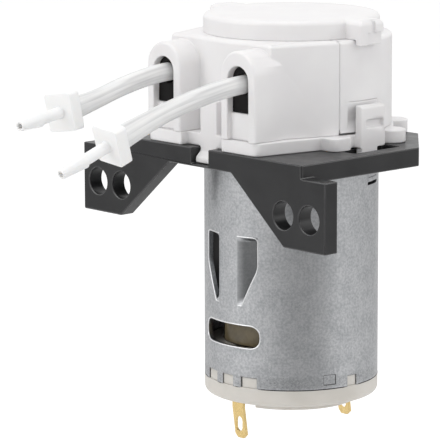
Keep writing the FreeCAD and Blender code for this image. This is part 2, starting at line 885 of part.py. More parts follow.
def make_base():
    """Moulded base of the head: flange, cup under the race, front hook, lugs and latch towers."""
    body = new_body("head_base")
    low = s.plate_thickness
    top = low + s.base_height
    flange = new_sketch(body, "XY_Plane", low)
    circle(flange, s.housing_radius + s.base_overhang)
    pad(body, flange, s.base_height)
    nose = new_sketch(body, "XY_Plane", low)
    half, front = s.base_front_half_width, base_front()
    flank = flank_x(s.base_waist_front, s.base_flank_angle) + s.slip_gap * 2
    back = s.housing_radius * s.base_flank_angle.sine()
    tangent = s.housing_radius * s.base_flank_angle.cosine()
    outline(nose, [
        (-half, -front), (half, -front), (flank, -s.base_waist_front), (back, -tangent),
        (-back, -tangent), (-flank, -s.base_waist_front),
    ])
    pad(body, nose, s.base_height)
    side_lugs = new_sketch(body, "XY_Plane", low)
    for side in (1, -1):
        rectangle(side_lugs, side * s.base_front_half_width, -s.side_lug_front,
                  side * side_lug_reach(), -s.side_lug_back)
    pad(body, side_lugs, s.base_height)
    round_edges(body, s.side_lug_corner, lambda e: is_upright(e) and abs(
        abs(e.BoundBox.XMin) - number(side_lug_reach())) < 1e-3)
    doc.recompute()
    round_edges(body, s.base_front_corner, lambda e: is_upright(e) and abs(
        e.BoundBox.YMin + number(front)) < 1e-3)
    doc.recompute()
    for angle in (24.0, 61.0, 119.0, 156.0):
        add_rear_lug(body, low, angle)
    cup = new_sketch(body, "XY_Plane", top)
    circle(cup, s.race_radius - s.fit_gap * 2)
    pad(body, cup, s.cup_height)
    cavity = new_sketch(body, "XY_Plane", low)
    circle(cavity, s.race_radius - s.cup_wall)
    pocket(body, cavity, s.base_height + s.cup_height - s.cup_roof, reverse=True)
    screw_room = new_sketch(body, "XY_Plane", low)
    for side in (1, -1):
        circle(screw_room, s.screw_pocket_radius, side * s.motor_screw_pitch)
    pocket(body, screw_room, s.screw_pocket_depth, reverse=True)
    bore = new_sketch(body, "XY_Plane", top + s.cup_height)
    circle(bore, s.cup_bore)
    pocket(body, bore, s.cup_roof)
    recess = new_sketch(body, "XY_Plane", top)
    centre = s.base_centre_half_width
    rectangle(recess, -centre, -front - s.slip_gap, centre, s.base_centre_recess - front)
    pocket(body, recess, s.base_height)
    hook = new_sketch(body, "YZ_Plane", -s.hook_half_width)
    hook_low = s.notch_floor + s.slip_gap
    face = s.base_centre_recess - front
    outline(hook, [
        (face, s.hook_top), (face, hook_low + s.hook_toe_height * 2),
        (face - s.hook_toe, hook_low + s.hook_toe_height), (face - s.hook_toe, hook_low),
        (face + s.hook_thickness, hook_low), (face + s.hook_thickness, s.hook_top),
    ])
    pad(body, hook, s.hook_half_width * 2)
    for side in (1, -1):
        add_latch_tower(body, side)
    return finish(body, "head_base")


def flank_x(front, angle):
    """Half the width that far in front of the axis, on a flank tangent to the round body."""
    return (s.housing_radius - front * angle.cosine()) / angle.sine()


def add_rear_lug(body, low, angle):
    """A rounded stop block on the rear rim of the base."""
    block = new_sketch(body, "XY_Plane", low)
    half = s.rear_lug_half_width
    centre = s.housing_radius + s.rear_lug_overhang - half
    rectangle(block, s.race_radius, -half, centre, half)
    block.AttachmentOffset = FreeCAD.Placement(
        block.AttachmentOffset.Base, FreeCAD.Rotation(V(0, 0, 1), angle)
    )
    pad(body, block, s.base_height)
    end = new_sketch(body, "XY_Plane", low)
    circle(end, half, centre, 0.0)
    end.AttachmentOffset = FreeCAD.Placement(
        end.AttachmentOffset.Base, FreeCAD.Rotation(V(0, 0, 1), angle)
    )
    pad(body, end, s.base_height)


def add_latch_tower(body, side):
    """A latch block on the flange, with a finger groove and a tongue into the plate's slot."""
    floor, top, edge = s.plate_thickness, s.tower_top, s.tower_edge
    inner, outer = tower_inner(), tower_outer()
    root = inner - s.tower_root_depth
    tower = new_sketch(body, "XZ_Plane", -s.tower_back)
    outline(tower, [
        (side * root, floor), (side * outer, floor), (side * outer, top - edge),
        (side * (outer - edge), top), (side * inner, top), (side * inner, floor + s.base_height),
        (side * root, floor + s.base_height),
    ])
    pad(body, tower, s.tower_back + s.tower_front)
    tongue = new_sketch(body, "XZ_Plane", -s.tongue_back)
    rectangle(tongue, side * inner, floor - s.tongue_depth, side * outer, floor)
    pad(body, tongue, s.tongue_back + s.tongue_front)
    groove = new_sketch(body, "YZ_Plane", side * outer)
    rectangle(groove, -s.tower_groove_front, s.tower_groove_low, s.tower_groove_back,
              s.tower_groove_high)
    pocket(body, groove, s.tower_groove_depth, reverse=side < 0)


def make_port_housing():
    """Front half of the head: round body, shoulders and the two arched hose ports."""
    body = new_body("port_housing")
    floor = s.plate_thickness + s.base_height
    height = s.housing_top - floor
    plan = new_sketch(body, "XY_Plane", floor)
    circle(plan, s.housing_radius)
    pad(body, plan, height)
    shoulders = new_sketch(body, "XY_Plane", floor)
    shoulder = s.housing_radius - s.shoulder_inset
    flank = flank_x(shoulder, s.flank_angle)
    back = s.housing_radius * s.flank_angle.sine()
    tangent = s.housing_radius * s.flank_angle.cosine()
    outline(shoulders, [
        (-flank, -shoulder), (flank, -shoulder), (back, -tangent), (-back, -tangent),
    ])
    pad(body, shoulders, height)
    ports = new_sketch(body, "XZ_Plane", s.race_radius + s.slip_gap)
    depth = port_front() - s.race_radius - s.slip_gap
    for side in (1, -1):
        x = side * s.port_spacing
        rectangle(ports, x - s.port_half_width, floor, x + s.port_half_width, s.port_arch_height)
    pad(body, ports, depth)
    arches = new_sketch(body, "XZ_Plane", s.race_radius + s.slip_gap)
    for side in (1, -1):
        circle(arches, s.port_half_width, side * s.port_spacing, s.port_arch_height)
    pad(body, arches, depth)
    rear = new_sketch(body, "XY_Plane", s.housing_top)
    reach = s.housing_radius + s.running_gap
    rectangle(rear, -reach, -s.seam_front, reach, reach)
    pocket(body, rear, height)
    race = new_sketch(body, "XY_Plane", s.housing_top)
    circle(race, s.race_radius)
    pocket(body, race, height)
    slots = new_sketch(body, "XZ_Plane", port_front())
    half = s.slot_half_width
    for side in (1, -1):
        x = side * s.port_spacing
        rectangle(slots, x - half, s.slot_floor, x + half, s.slot_arch_height)
    slot_depth = port_front() - s.seam_front
    pocket(body, slots, slot_depth)
    slot_tops = new_sketch(body, "XZ_Plane", port_front())
    for side in (1, -1):
        circle(slot_tops, half, side * s.port_spacing, s.slot_arch_height)
    pocket(body, slot_tops, slot_depth)
    panels = new_sketch(body, "XZ_Plane", port_front())
    for side in (1, -1):
        x = side * s.port_spacing
        rectangle(panels, x - half, floor, x + half, s.slot_floor)
    pocket(body, panels, s.panel_recess)
    round_edges(body, s.housing_edge, lambda e: at_height(e, s.housing_top) and outer_rim(e))
    round_edges(body, s.port_edge, port_outer_edge)
    return finish(body, "port_housing")


def outer_rim(edge):
    """True for an edge of the outline: not the race's rim and not the seam."""
    middle = edge.valueAt((edge.FirstParameter + edge.LastParameter) / 2)
    on_seam = abs(middle.y + number(s.seam_front)) < 1e-3
    return not on_seam and math.hypot(middle.x, middle.y) > number(s.race_radius) + 0.5


def port_outer_edge(edge):
    """True for the front outer edge of a port: its two sides and its arch."""
    box = edge.BoundBox
    if abs(box.YMin + number(port_front())) > 1e-3 or box.YLength > 1e-3:
        return False
    middle = edge.valueAt((edge.FirstParameter + edge.LastParameter) / 2)
    x = abs(middle.x) - number(s.port_spacing)
    half = number(s.port_half_width)
    on_side = is_upright(edge) and abs(abs(x) - half) < 1e-3
    on_arch = abs(math.hypot(x, middle.z - number(s.port_arch_height)) - half) < 1e-3
    return on_side or on_arch


def make_rear_housing():
    """Rear half of the head: a round shell whose inner wall is the roller race."""
    body = new_body("rear_housing")
    floor = s.plate_thickness + s.base_height
    height = s.housing_top - floor
    plan = new_sketch(body, "XY_Plane", floor)
    circle(plan, s.housing_radius)
    pad(body, plan, height)
    front = new_sketch(body, "XY_Plane", s.housing_top)
    reach = s.housing_radius + s.running_gap
    rectangle(front, -reach, -reach, reach, s.fit_gap - s.seam_front)
    pocket(body, front, height)
    race = new_sketch(body, "XY_Plane", s.housing_top)
    circle(race, s.race_radius)
    pocket(body, race, height)
    legs = new_sketch(body, "XY_Plane", s.housing_top)
    rectangle(legs, -s.race_radius, -s.seam_front, s.race_radius, 0.0)
    pocket(body, legs, height)
    towers = new_sketch(body, "XY_Plane", s.tower_top + s.tower_pocket_margin)
    margin = s.tower_pocket_margin
    edge, deep = tower_outer(), s.housing_radius - s.tower_pocket_depth
    near, far = s.tower_front, s.tower_back + margin
    for side in (1, -1):
        outline(towers, [
            (side * edge, -near - s.tower_pocket_ramp * 2), (side * deep, s.tower_pocket_ramp - near * 2),
            (side * deep, far), (side * edge, far),
        ])
    pocket(body, towers, s.tower_top + margin - floor)
    foot = new_sketch(body, "XY_Plane", floor + s.foot_slot_height)
    for side in (1, -1):
        rectangle(foot, side * (s.housing_radius - s.foot_slot_depth), -s.seam_front,
                  side * edge, -s.foot_slot_back)
    pocket(body, foot, s.foot_slot_height)
    round_edges(body, s.housing_edge, lambda e: at_height(e, s.housing_top) and outer_rim(e)
                and e.Curve.TypeId == "Part::GeomCircle")
    return finish(body, "rear_housing")


def make_lid():
    """Snap-on lid: a shallow round cap with a lug each side and a pivot socket for the carrier."""
    body = new_body("top_lid")
    disc = new_sketch(body, "XY_Plane", s.housing_top)
    circle(disc, s.housing_radius - s.lid_margin)
    pad(body, disc, s.lid_height)
    lugs = new_sketch(body, "XY_Plane", s.housing_top)
    rectangle(lugs, -lid_lug_reach(), -s.lid_lug_front, lid_lug_reach(), s.lid_lug_back)
    pad(body, lugs, s.lid_height)
    round_edges(body, s.lid_edge, lambda e: at_height(e, s.housing_top + s.lid_height))
    doc.recompute()
    skirts = new_sketch(body, "XY_Plane", s.housing_top)
    for side in (1, -1):
        rectangle(skirts, side * (s.housing_radius + s.running_gap / 2), -s.lid_lug_front,
                  side * lid_lug_reach(), s.lid_lug_back)
    pad(body, skirts, s.lid_skirt, reverse=True)
    for side in (1, -1):
        cut_lid_lug(body, side)
    spigot = new_sketch(body, "XY_Plane", s.housing_top)
    circle(spigot, s.race_radius - s.slip_gap * 2)
    pad(body, spigot, s.lid_spigot_height, reverse=True)
    hollow = new_sketch(body, "XY_Plane", s.housing_top - s.lid_spigot_height)
    circle(hollow, s.race_radius - s.slip_gap * 2 - s.lid_spigot_wall)
    pocket(body, hollow, s.lid_spigot_height + s.lid_height - s.lid_roof, reverse=True)
    boss = new_sketch(body, "XY_Plane", s.housing_top)
    circle(boss, s.lid_boss_radius)
    pad(body, boss, s.lid_height - s.lid_roof / 2)
    socket = new_sketch(body, "XY_Plane", s.housing_top)
    circle(socket, s.pivot_radius + s.fit_gap)
    pocket(body, socket, s.lid_height - s.lid_roof, reverse=True)
    return finish(body, "top_lid")


def cut_lid_lug(body, side):
    """The step along the foot of a lid lug and the upright groove in its outer face."""
    low = s.housing_top - s.lid_skirt
    top = s.housing_top + s.lid_height
    step = new_sketch(body, "YZ_Plane", side * lid_lug_reach())
    rectangle(step, -s.lid_lug_step_front, low - s.slip_gap, s.lid_lug_back + s.slip_gap,
              s.housing_top + s.lid_lug_step_height)
    pocket(body, step, s.lid_lug_step, reverse=side < 0)
    groove = new_sketch(body, "YZ_Plane", side * lid_lug_reach())
    rectangle(groove, s.lid_lug_groove_front, low - s.slip_gap,
              s.lid_lug_groove_front + s.lid_lug_groove_width, top + s.slip_gap)
    pocket(body, groove, s.lid_lug_step, reverse=side < 0)


def make_sleeve():
    sleeve = drilled_bar("drive_sleeve", s.sleeve_radius, s.sleeve_length, s.shaft_radius, s.sleeve_bottom)
    finish(sleeve, "drive_sleeve")


def roller_orbit():
    """Distance of the roller pins from the shaft's axis."""
    return s.sleeve_radius + s.slip_gap + s.roller_radius


def carrier_floor():
    """Underside of the lower carrier disc."""
    return s.plate_thickness + s.base_height + s.cup_height + s.running_gap


def make_carrier():
    """Roller carrier: two discs, three posts between them, three pins and the lid's pivot."""
    lower = new_body("carrier_lower")
    bottom = carrier_floor()
    disc = new_sketch(lower, "XY_Plane", bottom)
    circle(disc, s.carrier_radius)
    circle(disc, s.carrier_bore)
    pad(lower, disc, s.carrier_lower_height)
    post_foot = bottom + s.carrier_lower_height
    upper_floor = s.roller_bottom + s.roller_height + s.running_gap
    post = new_sketch(lower, "XY_Plane", post_foot)
    circle(post, s.post_radius, -s.post_orbit, 0.0)
    first = pad(lower, post, upper_floor - post_foot)
    doc.recompute()
    polar(lower, first, post, ROLLER_COUNT)
    doc.recompute()
    holes = new_sketch(lower, "XY_Plane", post_foot)
    circle(holes, s.pin_radius, roller_orbit(), 0.0)
    hole = pocket(lower, holes, s.carrier_lower_height)
    polar(lower, hole, holes, ROLLER_COUNT)
    finish(lower, "carrier_lower")
    upper = new_body("carrier_upper")
    plate = new_sketch(upper, "XY_Plane", upper_floor)
    circle(plate, s.carrier_radius)
    pad(upper, plate, s.carrier_upper_height)
    pivot = new_sketch(upper, "XY_Plane", upper_floor)
    circle(pivot, s.pivot_radius)
    pad(upper, pivot, s.carrier_upper_height + s.pivot_height)
    top_holes = new_sketch(upper, "XY_Plane", upper_floor + s.carrier_upper_height)
    circle(top_holes, s.pin_radius, roller_orbit(), 0.0)
    hole = pocket(upper, top_holes, s.carrier_upper_height)
    polar(upper, hole, top_holes, ROLLER_COUNT)
    finish(upper, "carrier_upper")
    pins = doc.addObject("Part::MultiFuse", "roller_pins")
    pieces = []
    for i in range(ROLLER_COUNT):
        turn = 360.0 * i / ROLLER_COUNT
        pin = doc.addObject("Part::Cylinder", "roller_pin")
        bind(pin, "Radius", s.pin_radius)
        bind(pin, "Height", upper_floor + s.carrier_upper_height - bottom)
        bind(pin, "Placement.Base.x", roller_orbit() * math.cos(math.radians(turn)))
        bind(pin, "Placement.Base.y", roller_orbit() * math.sin(math.radians(turn)))
        bind(pin, "Placement.Base.z", bottom)
        pieces.append(pin)
    pins.Shapes = pieces
    finish(pins, "roller_pins")


def make_roller(index):
    """One acetal roller, with softened edges, that turns on its pin."""
    turn = math.radians(360.0 * index / ROLLER_COUNT)
    body = new_body(f"roller_{index + 1}")
    profile = new_sketch(body, "XZ_Plane")
    bore, radius, edge = s.pin_radius + s.fit_gap, s.roller_radius, s.roller_edge
    top = s.roller_bottom + s.roller_height
    outline(profile, [
        (bore, s.roller_bottom), (radius - edge, s.roller_bottom),
        (radius, s.roller_bottom + edge), (radius, top - edge), (radius - edge, top), (bore, top),
    ])
    revolve(body, profile)
    x = roller_orbit() * math.cos(turn)
    y = roller_orbit() * math.sin(turn)
    finish(body, f"roller_{index + 1}", x, y)


def tube_path_radius():
    """Radius of the squeezed tube's middle line, against the race's wall."""
    return s.race_radius - s.fit_gap - s.tube_flat_thickness / 2


def flat_section(sketch, x):
    """The squeezed tube's oval section."""
    height = number(s.tube_height)
    across = number(s.tube_flat_thickness) / 2
    tall = number(s.tube_flat_height) / 2
    centre = V(x, height, 0)
    sketch.addGeometry(Part.Ellipse(V(x, height + tall, 0), V(x + across, height, 0), centre))


def make_pump_tube():
    """The tube's working stretch: squeezed flat round the race, and round again at its two ends."""
    body = new_body("pump_tube")
    radius = number(tube_path_radius())
    arc = new_sketch(body, "XZ_Plane")
    flat_section(arc, radius)
    race_turn = revolve(body, arc, 180.0)
    doc.recompute()
    if body.Shape.BoundBox.YMax < 1.0:
        race_turn.Reversed = True
        doc.recompute()
    for side in (1, -1):
        leg = new_sketch(body, "XZ_Plane")
        flat_section(leg, side * radius)
        pad(body, leg, s.tube_leg)
        start = new_sketch(body, "XZ_Plane", s.tube_leg)
        flat_section(start, side * radius)
        end = new_sketch(body, "XZ_Plane", s.tube_end)
        end.addGeometry(Part.Circle(
            V(side * number(s.port_spacing), number(s.tube_height), 0), V(0, 0, 1), number(s.tube_radius)
        ))
        loft = body.newObject("PartDesign::AdditiveLoft", "pump_tube_loft")
        loft.Profile = (start, [""])
        loft.Sections = [(end, [""])]
        doc.recompute()
    return finish(body, "pump_tube")


def make_clamp(label, side):
    """A black clip that fills a port's slot behind the mouth and grips the tube."""
    body = new_body(label)
    back = s.clamp_front - s.clamp_length
    x = side * s.port_spacing
    half = s.slot_half_width - s.fit_gap
    block = new_sketch(body, "XZ_Plane", back)
    rectangle(block, x - half, s.slot_floor, x + half, s.slot_arch_height)
    pad(body, block, s.clamp_length)
    arch = new_sketch(body, "XZ_Plane", back)
    circle(arch, half, x, s.slot_arch_height)
    pad(body, arch, s.clamp_length)
    bore = new_sketch(body, "XZ_Plane", s.clamp_front)
    circle(bore, s.tube_radius + s.slip_gap, x, s.tube_height)
    pocket(body, bore, s.clamp_length)
    return finish(body, label)


def rounded_path(points):
    """Straight runs joined by tangent arcs, each as large as its two runs allow."""
    corners = [V(*point) for point in points]
    edges, start = [], corners[0]
    for i in range(1, len(corners) - 1):
        back = corners[i - 1] - corners[i]
        ahead = corners[i + 1] - corners[i]
        shorter = min(back.Length, ahead.Length)
        turn = math.pi - back.getAngle(ahead)
        setback = 0.45 * shorter
        radius = setback / math.tan(turn / 2)
        back.normalize()
        ahead.normalize()
        first, last = corners[i] + back * setback, corners[i] + ahead * setback
        inward = (back + ahead).normalize()
        middle = corners[i] + inward * (radius / math.cos(turn / 2) - radius)
        edges.append(Part.LineSegment(start, first).toShape())
        edges.append(Part.Arc(first, middle, last).toShape())
        print(f"  arc {i}: radius {radius:.1f} mm, turn {math.degrees(turn):.1f} degrees")
        start = last
    edges.append(Part.LineSegment(start, corners[-1]).toShape())
    return Part.Wire(edges)


def make_hose(label, route):
    """A free hose: one plain tube along its route."""
    print(label)
    path = rounded_path(route)
    radius = number(s.tube_radius)
    start = V(*route[0])
    direction = V(*route[1]) - start
    section = Part.Face(Part.Wire(Part.Circle(start, direction, radius).toShape()))
    solid = path.makePipe(section)
    expected = math.pi * radius ** 2 * path.Length
    print(f"  length {path.Length:.2f} mm, volume {solid.Volume:.2f} of {expected:.2f} mm3")
    hose = doc.addObject("Part::Feature", label)
    hose.Shape = solid
    return finish(hose, label)


def make_fitting(label, route, plate_turn):
    """A moulded hose connector: square finger plate on the hose's end, neck and barbed nozzle."""
    body = new_body(label)
    plate = new_sketch(body, "XY_Plane")
    across, along = s.finger_plate_height / 2, s.finger_plate_width / 2
    rectangle(plate, -across, -along, across, along)
    pad(body, plate, s.finger_plate_thickness)
    round_edges(body, s.finger_plate_corner, is_upright)
    neck_end = s.finger_plate_thickness + s.neck_length
    tip = neck_end + s.barb_length
    profile = new_sketch(body, "XZ_Plane")
    outline(profile, [
        (0.0, 0.0), (s.neck_radius, 0.0), (s.neck_radius, neck_end), (s.barb_radius, neck_end),
        (s.tip_radius, tip), (0.0, tip),
    ])
    revolve(body, profile)
    doc.recompute()
    bore = new_sketch(body, "XY_Plane", tip)
    circle(bore, s.fitting_bore)
    pocket(body, bore, tip)
    end = V(*route[-1])
    direction = end - V(*route[-2])
    turn = FreeCAD.Rotation(V(0, 0, 1), direction)
    upright = turn.inverted().multVec(V(0, 0, 1))
    roll = math.degrees(math.atan2(upright.y, upright.x)) + plate_turn
    body.Placement = FreeCAD.Placement(end, turn * FreeCAD.Rotation(V(0, 0, 1), roll))
    return finish(body, label, end.x, end.y, end.z)


def check_everything():
    """Stops if any object has failed or any sub-part has no valid shape."""
    doc.recompute()
    for obj in doc.Objects:
        if "Invalid" in obj.State or "Error" in obj.State:
            raise RuntimeError(f"{obj.Name} is {obj.State}")
    for node in nodes:
        if node.Shape.isNull() or not node.Shape.isValid() or not node.Shape.Solids:
            raise RuntimeError(f"{node.Label} has no valid solid")


def write_parts():
    os.makedirs("parts", exist_ok=True)
    for node in nodes:
        node.Shape.exportStep(f"parts/{node.Label}.step")
        box = node.Shape.BoundBox
        print(f"{node.Label}: {len(node.Shape.Solids)} solids, {node.Shape.Volume:.1f} mm3, "
              f"x {box.XMin:.2f}..{box.XMax:.2f}, y {box.YMin:.2f}..{box.YMax:.2f}, "
              f"z {box.ZMin:.2f}..{box.ZMax:.2f}")


make_bracket()
make_can()
make_end_cap()
make_bearings()
make_magnet("magnet_left", 180.0)
make_magnet("magnet_right", 0.0)
make_terminal("terminal_front", -1)
make_terminal("terminal_rear", 1)
make_brush_gear("front", -1)
make_brush_gear("rear", 1)
make_motor_screws()
make_shaft()
make_core()
make_windings()
make_commutator()
make_base()
make_port_housing()
make_rear_housing()
make_lid()
make_sleeve()
make_carrier()
for roller in range(ROLLER_COUNT):
    make_roller(roller)
make_pump_tube()
make_clamp("tube_clamp_outlet", 1)
make_clamp("tube_clamp_inlet", -1)
make_hose("outlet_hose", OUTLET_ROUTE)
make_hose("inlet_hose", INLET_ROUTE)
make_fitting("outlet_fitting", OUTLET_ROUTE, OUTLET_PLATE_TURN)
make_fitting("inlet_fitting", INLET_ROUTE, INLET_PLATE_TURN)
check_everything()
write_parts()
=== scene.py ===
"""Looks of a small peristaltic dosing pump on a brushed motor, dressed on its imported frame."""

import logging
import math
from contextlib import contextmanager
from dataclasses import dataclass
from enum import Enum
from typing import Callable, Iterator, Union

import bpy
from mathutils import Matrix, Vector


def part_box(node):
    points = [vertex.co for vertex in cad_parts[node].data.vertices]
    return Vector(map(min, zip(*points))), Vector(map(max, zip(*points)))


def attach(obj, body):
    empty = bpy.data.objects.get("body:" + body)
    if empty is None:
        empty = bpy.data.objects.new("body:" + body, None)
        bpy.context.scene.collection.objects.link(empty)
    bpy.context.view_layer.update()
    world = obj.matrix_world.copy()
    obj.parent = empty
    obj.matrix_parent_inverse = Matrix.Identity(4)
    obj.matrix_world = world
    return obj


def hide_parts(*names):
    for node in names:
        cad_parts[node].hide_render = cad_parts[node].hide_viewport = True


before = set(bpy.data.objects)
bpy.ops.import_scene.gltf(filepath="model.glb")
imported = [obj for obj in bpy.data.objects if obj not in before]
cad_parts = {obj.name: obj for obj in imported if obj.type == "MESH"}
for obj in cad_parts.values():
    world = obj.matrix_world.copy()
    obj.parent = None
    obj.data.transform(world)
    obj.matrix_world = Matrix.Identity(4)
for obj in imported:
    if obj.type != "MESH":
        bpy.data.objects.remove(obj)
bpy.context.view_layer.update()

MM = 0.001
PHOTO_PIXELS = 440
MERGE_DISTANCE = 2.0e-6                         # in metres
CORNER_STEPS = 6                                # spans on each rounded corner of an outline
MOTOR_AXIS = Vector((0.0, 19.65, 5.1)) * MM     # the axis where it meets the plate's underside

log = logging.getLogger("dosing_pump")

Point = tuple[float, float, float]
Corner = tuple[float, float, float]             # its two coordinates and its radius
Colour = tuple[float, float, float]
Span = tuple[float, float]
Operand = Union["Socket", float, int]
Materials = dict[str, bpy.types.Material]


def millimetres(x: float, y: float, z: float) -> Vector:
    """A point given in millimetres from the motor axis and the plate's underside, in the frame."""
    return MOTOR_AXIS + Vector((x, y, z)) * MM


def direction(azimuth: float, elevation: float = 0.0) -> Vector:
    """The unit vector that points to an azimuth from the front and an elevation, in degrees."""
    around, rise = math.radians(azimuth), math.radians(elevation)
    return Vector((math.sin(around) * math.cos(rise), -math.cos(around) * math.cos(rise),
                   math.sin(rise)))


def add_object(name: str, data: bpy.types.ID) -> bpy.types.Object:
    """Adds an object with that data to the scene."""
    made = bpy.data.objects.new(name, data)
    bpy.context.scene.collection.objects.link(made)
    return made


class Slot(Enum):
    """The record's material slots."""

    BLACK_PLASTIC = "black_plastic"
    WHITE_PLASTIC = "white_plastic"
    NATURAL_PLASTIC = "natural_plastic"
    SILICONE = "silicone"
    STEEL = "steel"
    PLATED_STEEL = "plated_steel"
    FERRITE = "ferrite"
    BRONZE = "bronze"
    BRASS = "brass"
    CARBON = "carbon"
    COPPER = "copper"


class Lay(Enum):
    """Which way the marks of drawing, turning or rolling run on a metal surface."""

    UPRIGHT = (1.0, 1.0, 0.035)
    ROUND = (0.05, 0.05, 1.0)
    NONE = (1.0, 1.0, 1.0)


class Socket:
    """One output of a shader node, used as a value or a colour in plain arithmetic."""

    def __init__(self, graph: "Graph", output: bpy.types.NodeSocket) -> None:
        """Keeps the node output and the graph that it belongs to."""
        self.graph = graph
        self.output = output

    def _math(self, operation: str, first: Operand, second: Operand) -> "Socket":
        """Adds a Math node of that operation on two operands."""
        return self.graph.node("ShaderNodeMath", {"operation": operation}, {0: first, 1: second})

    def __add__(self, other: Operand) -> "Socket":
        """Adds two values."""
        return self._math("ADD", self, other)

    __radd__ = __add__

    def __mul__(self, other: Operand) -> "Socket":
        """Multiplies two values."""
        return self._math("MULTIPLY", self, other)

    __rmul__ = __mul__

    def __sub__(self, other: Operand) -> "Socket":
        """Takes the other value from this one."""
        return self._math("SUBTRACT", self, other)

    def __rsub__(self, other: Operand) -> "Socket":
        """Takes this value from the other one."""
        return self._math("SUBTRACT", other, self)

    def largest(self, other: Operand) -> "Socket":
        """The larger of two values."""
        return self._math("MAXIMUM", self, other)

    def between(self, low: float, high: float) -> "Socket":
        """Runs smoothly from 0 at low to 1 at high.

        Args:
            low: The value that becomes 0.
            high: The value that becomes 1.

        Returns:
            The smoothed value.
        """
        settings = {"interpolation_type": "SMOOTHSTEP"}
        values = {"Value": self, "From Min": low, "From Max": high}
        return self.graph.node("ShaderNodeMapRange", settings, values)


class Graph:
    """The node tree of one material, or of the world."""

    def __init__(self, owner: Union[bpy.types.Material, bpy.types.World]) -> None:
        """Starts an empty node tree on a new material or world."""
        self.owner = owner
        owner.use_nodes = True
        self.tree = owner.node_tree
        self.tree.nodes.clear()

    def node(self, kind: str, settings: dict, values: dict, output: Union[int, str] = 0) -> Socket:
        """Adds one node, sets its options first, and then fills or links its inputs.

        Args:
            kind: The node's type name.
            settings: Options of the node, and "stops" for a colour ramp.
            values: Input name or index, with a Socket to link or a value to set.
            output: The output that the caller wants.

        Returns:
            That output as a Socket.
        """
        made = self.tree.nodes.new(kind)
        for option, value in settings.items():
            if option == "stops":
                self._set_stops(made, value)
            else:
                setattr(made, option, value)
        for key, value in values.items():
            target = made.inputs[key]
            if isinstance(value, Socket):
                self.tree.links.new(value.output, target)
            else:
                target.default_value = value
        return Socket(self, made.outputs[output])

    @staticmethod
    def _set_stops(ramp: bpy.types.Node, stops: list[tuple[float, Colour]]) -> None:
        """Writes a colour ramp's stops, each a place and a colour."""
        elements = ramp.color_ramp.elements
        while len(elements) < len(stops):
            elements.new(1.0)
        for element, (place, colour) in zip(elements, stops):
            element.position = place
            element.color = (*colour, 1.0)

    def position(self, stretch: Point = (1.0, 1.0, 1.0)) -> Socket:
        """The surface point about the motor axis, in metres, with each axis scaled by stretch."""
        place = self.node("ShaderNodeTexCoord", {}, {}, "Object")
        offset = tuple(-a * b for a, b in zip(MOTOR_AXIS, stretch))
        return self.node("ShaderNodeMapping", {}, {
            "Vector": place, "Location": offset, "Scale": stretch})

    def noise(self, scale: float, detail: float = 2.0, stretch: Point = (1.0, 1.0, 1.0),
              roughness: float = 0.5) -> Socket:
        """Soft noise from 0 to 1 with that many cells per metre."""
        return self.node("ShaderNodeTexNoise", {}, {
            "Vector": self.position(stretch), "Scale": scale, "Detail": detail,
            "Roughness": roughness}, "Fac")

    def radius(self) -> Socket:
        """The surface point's distance from the motor axis, in metres."""
        flat = self.position((1.0, 1.0, 0.0))
        return self.node("ShaderNodeVectorMath", {"operation": "LENGTH"}, {"Vector": flat}, "Value")

    def height(self) -> Socket:
        """The surface point's height over the plate's underside, in metres."""
        return self.node("ShaderNodeSeparateXYZ", {}, {"Vector": self.position()}, "Z")

    def streaks(self, along: float, around: float) -> Socket:
        """Noise drawn out along a tube's length, on its own UV: cells along it and around it."""
        place = self.node("ShaderNodeTexCoord", {}, {}, "UV")
        drawn = self.node("ShaderNodeMapping", {}, {"Vector": place, "Scale": (along, around, 1.0)})
        return self.node("ShaderNodeTexNoise", {}, {
            "Vector": drawn, "Scale": 1.0, "Detail": 2.0}, "Fac")

    def mix(self, factor: Operand, first: Union[Socket, Colour],
            second: Union[Socket, Colour]) -> Socket:
        """Mixes two colours by a factor."""
        def whole(colour: Union[Socket, Colour]) -> Union[Socket, tuple]:
            """Gives a plain colour its fourth number."""
            return colour if isinstance(colour, Socket) else (*colour, 1.0)
        return self.node("ShaderNodeMix", {"data_type": "RGBA"}, {
            "Factor": factor, 6: whole(first), 7: whole(second)}, 2)

    def bump(self, height: Socket, depth: float) -> Socket:
        """A normal from a height of 0 to 1 that stands for that depth in metres."""
        return self.node("ShaderNodeBump", {}, {"Height": height, "Distance": depth}, "Normal")

    def close(self, **inputs: Union[Socket, float, tuple]) -> bpy.types.Material:
        """Ends the tree in one Principled shader.

        Args:
            inputs: The shader's inputs by name, with "_" for each space.

        Returns:
            The finished material.
        """
        values = {key.replace("_", " "): value for key, value in inputs.items()}
        shader = self.node("ShaderNodeBsdfPrincipled", {}, values)
        return self.end("ShaderNodeOutputMaterial", shader)

    def end(self, kind: str, shader: Socket) -> Union[bpy.types.Material, bpy.types.World]:
        """Links a shader to an output node of that kind and gives back the tree's owner."""
        output = self.tree.nodes.new(kind)
        self.tree.links.new(shader.output, output.inputs["Surface"])
        return self.owner


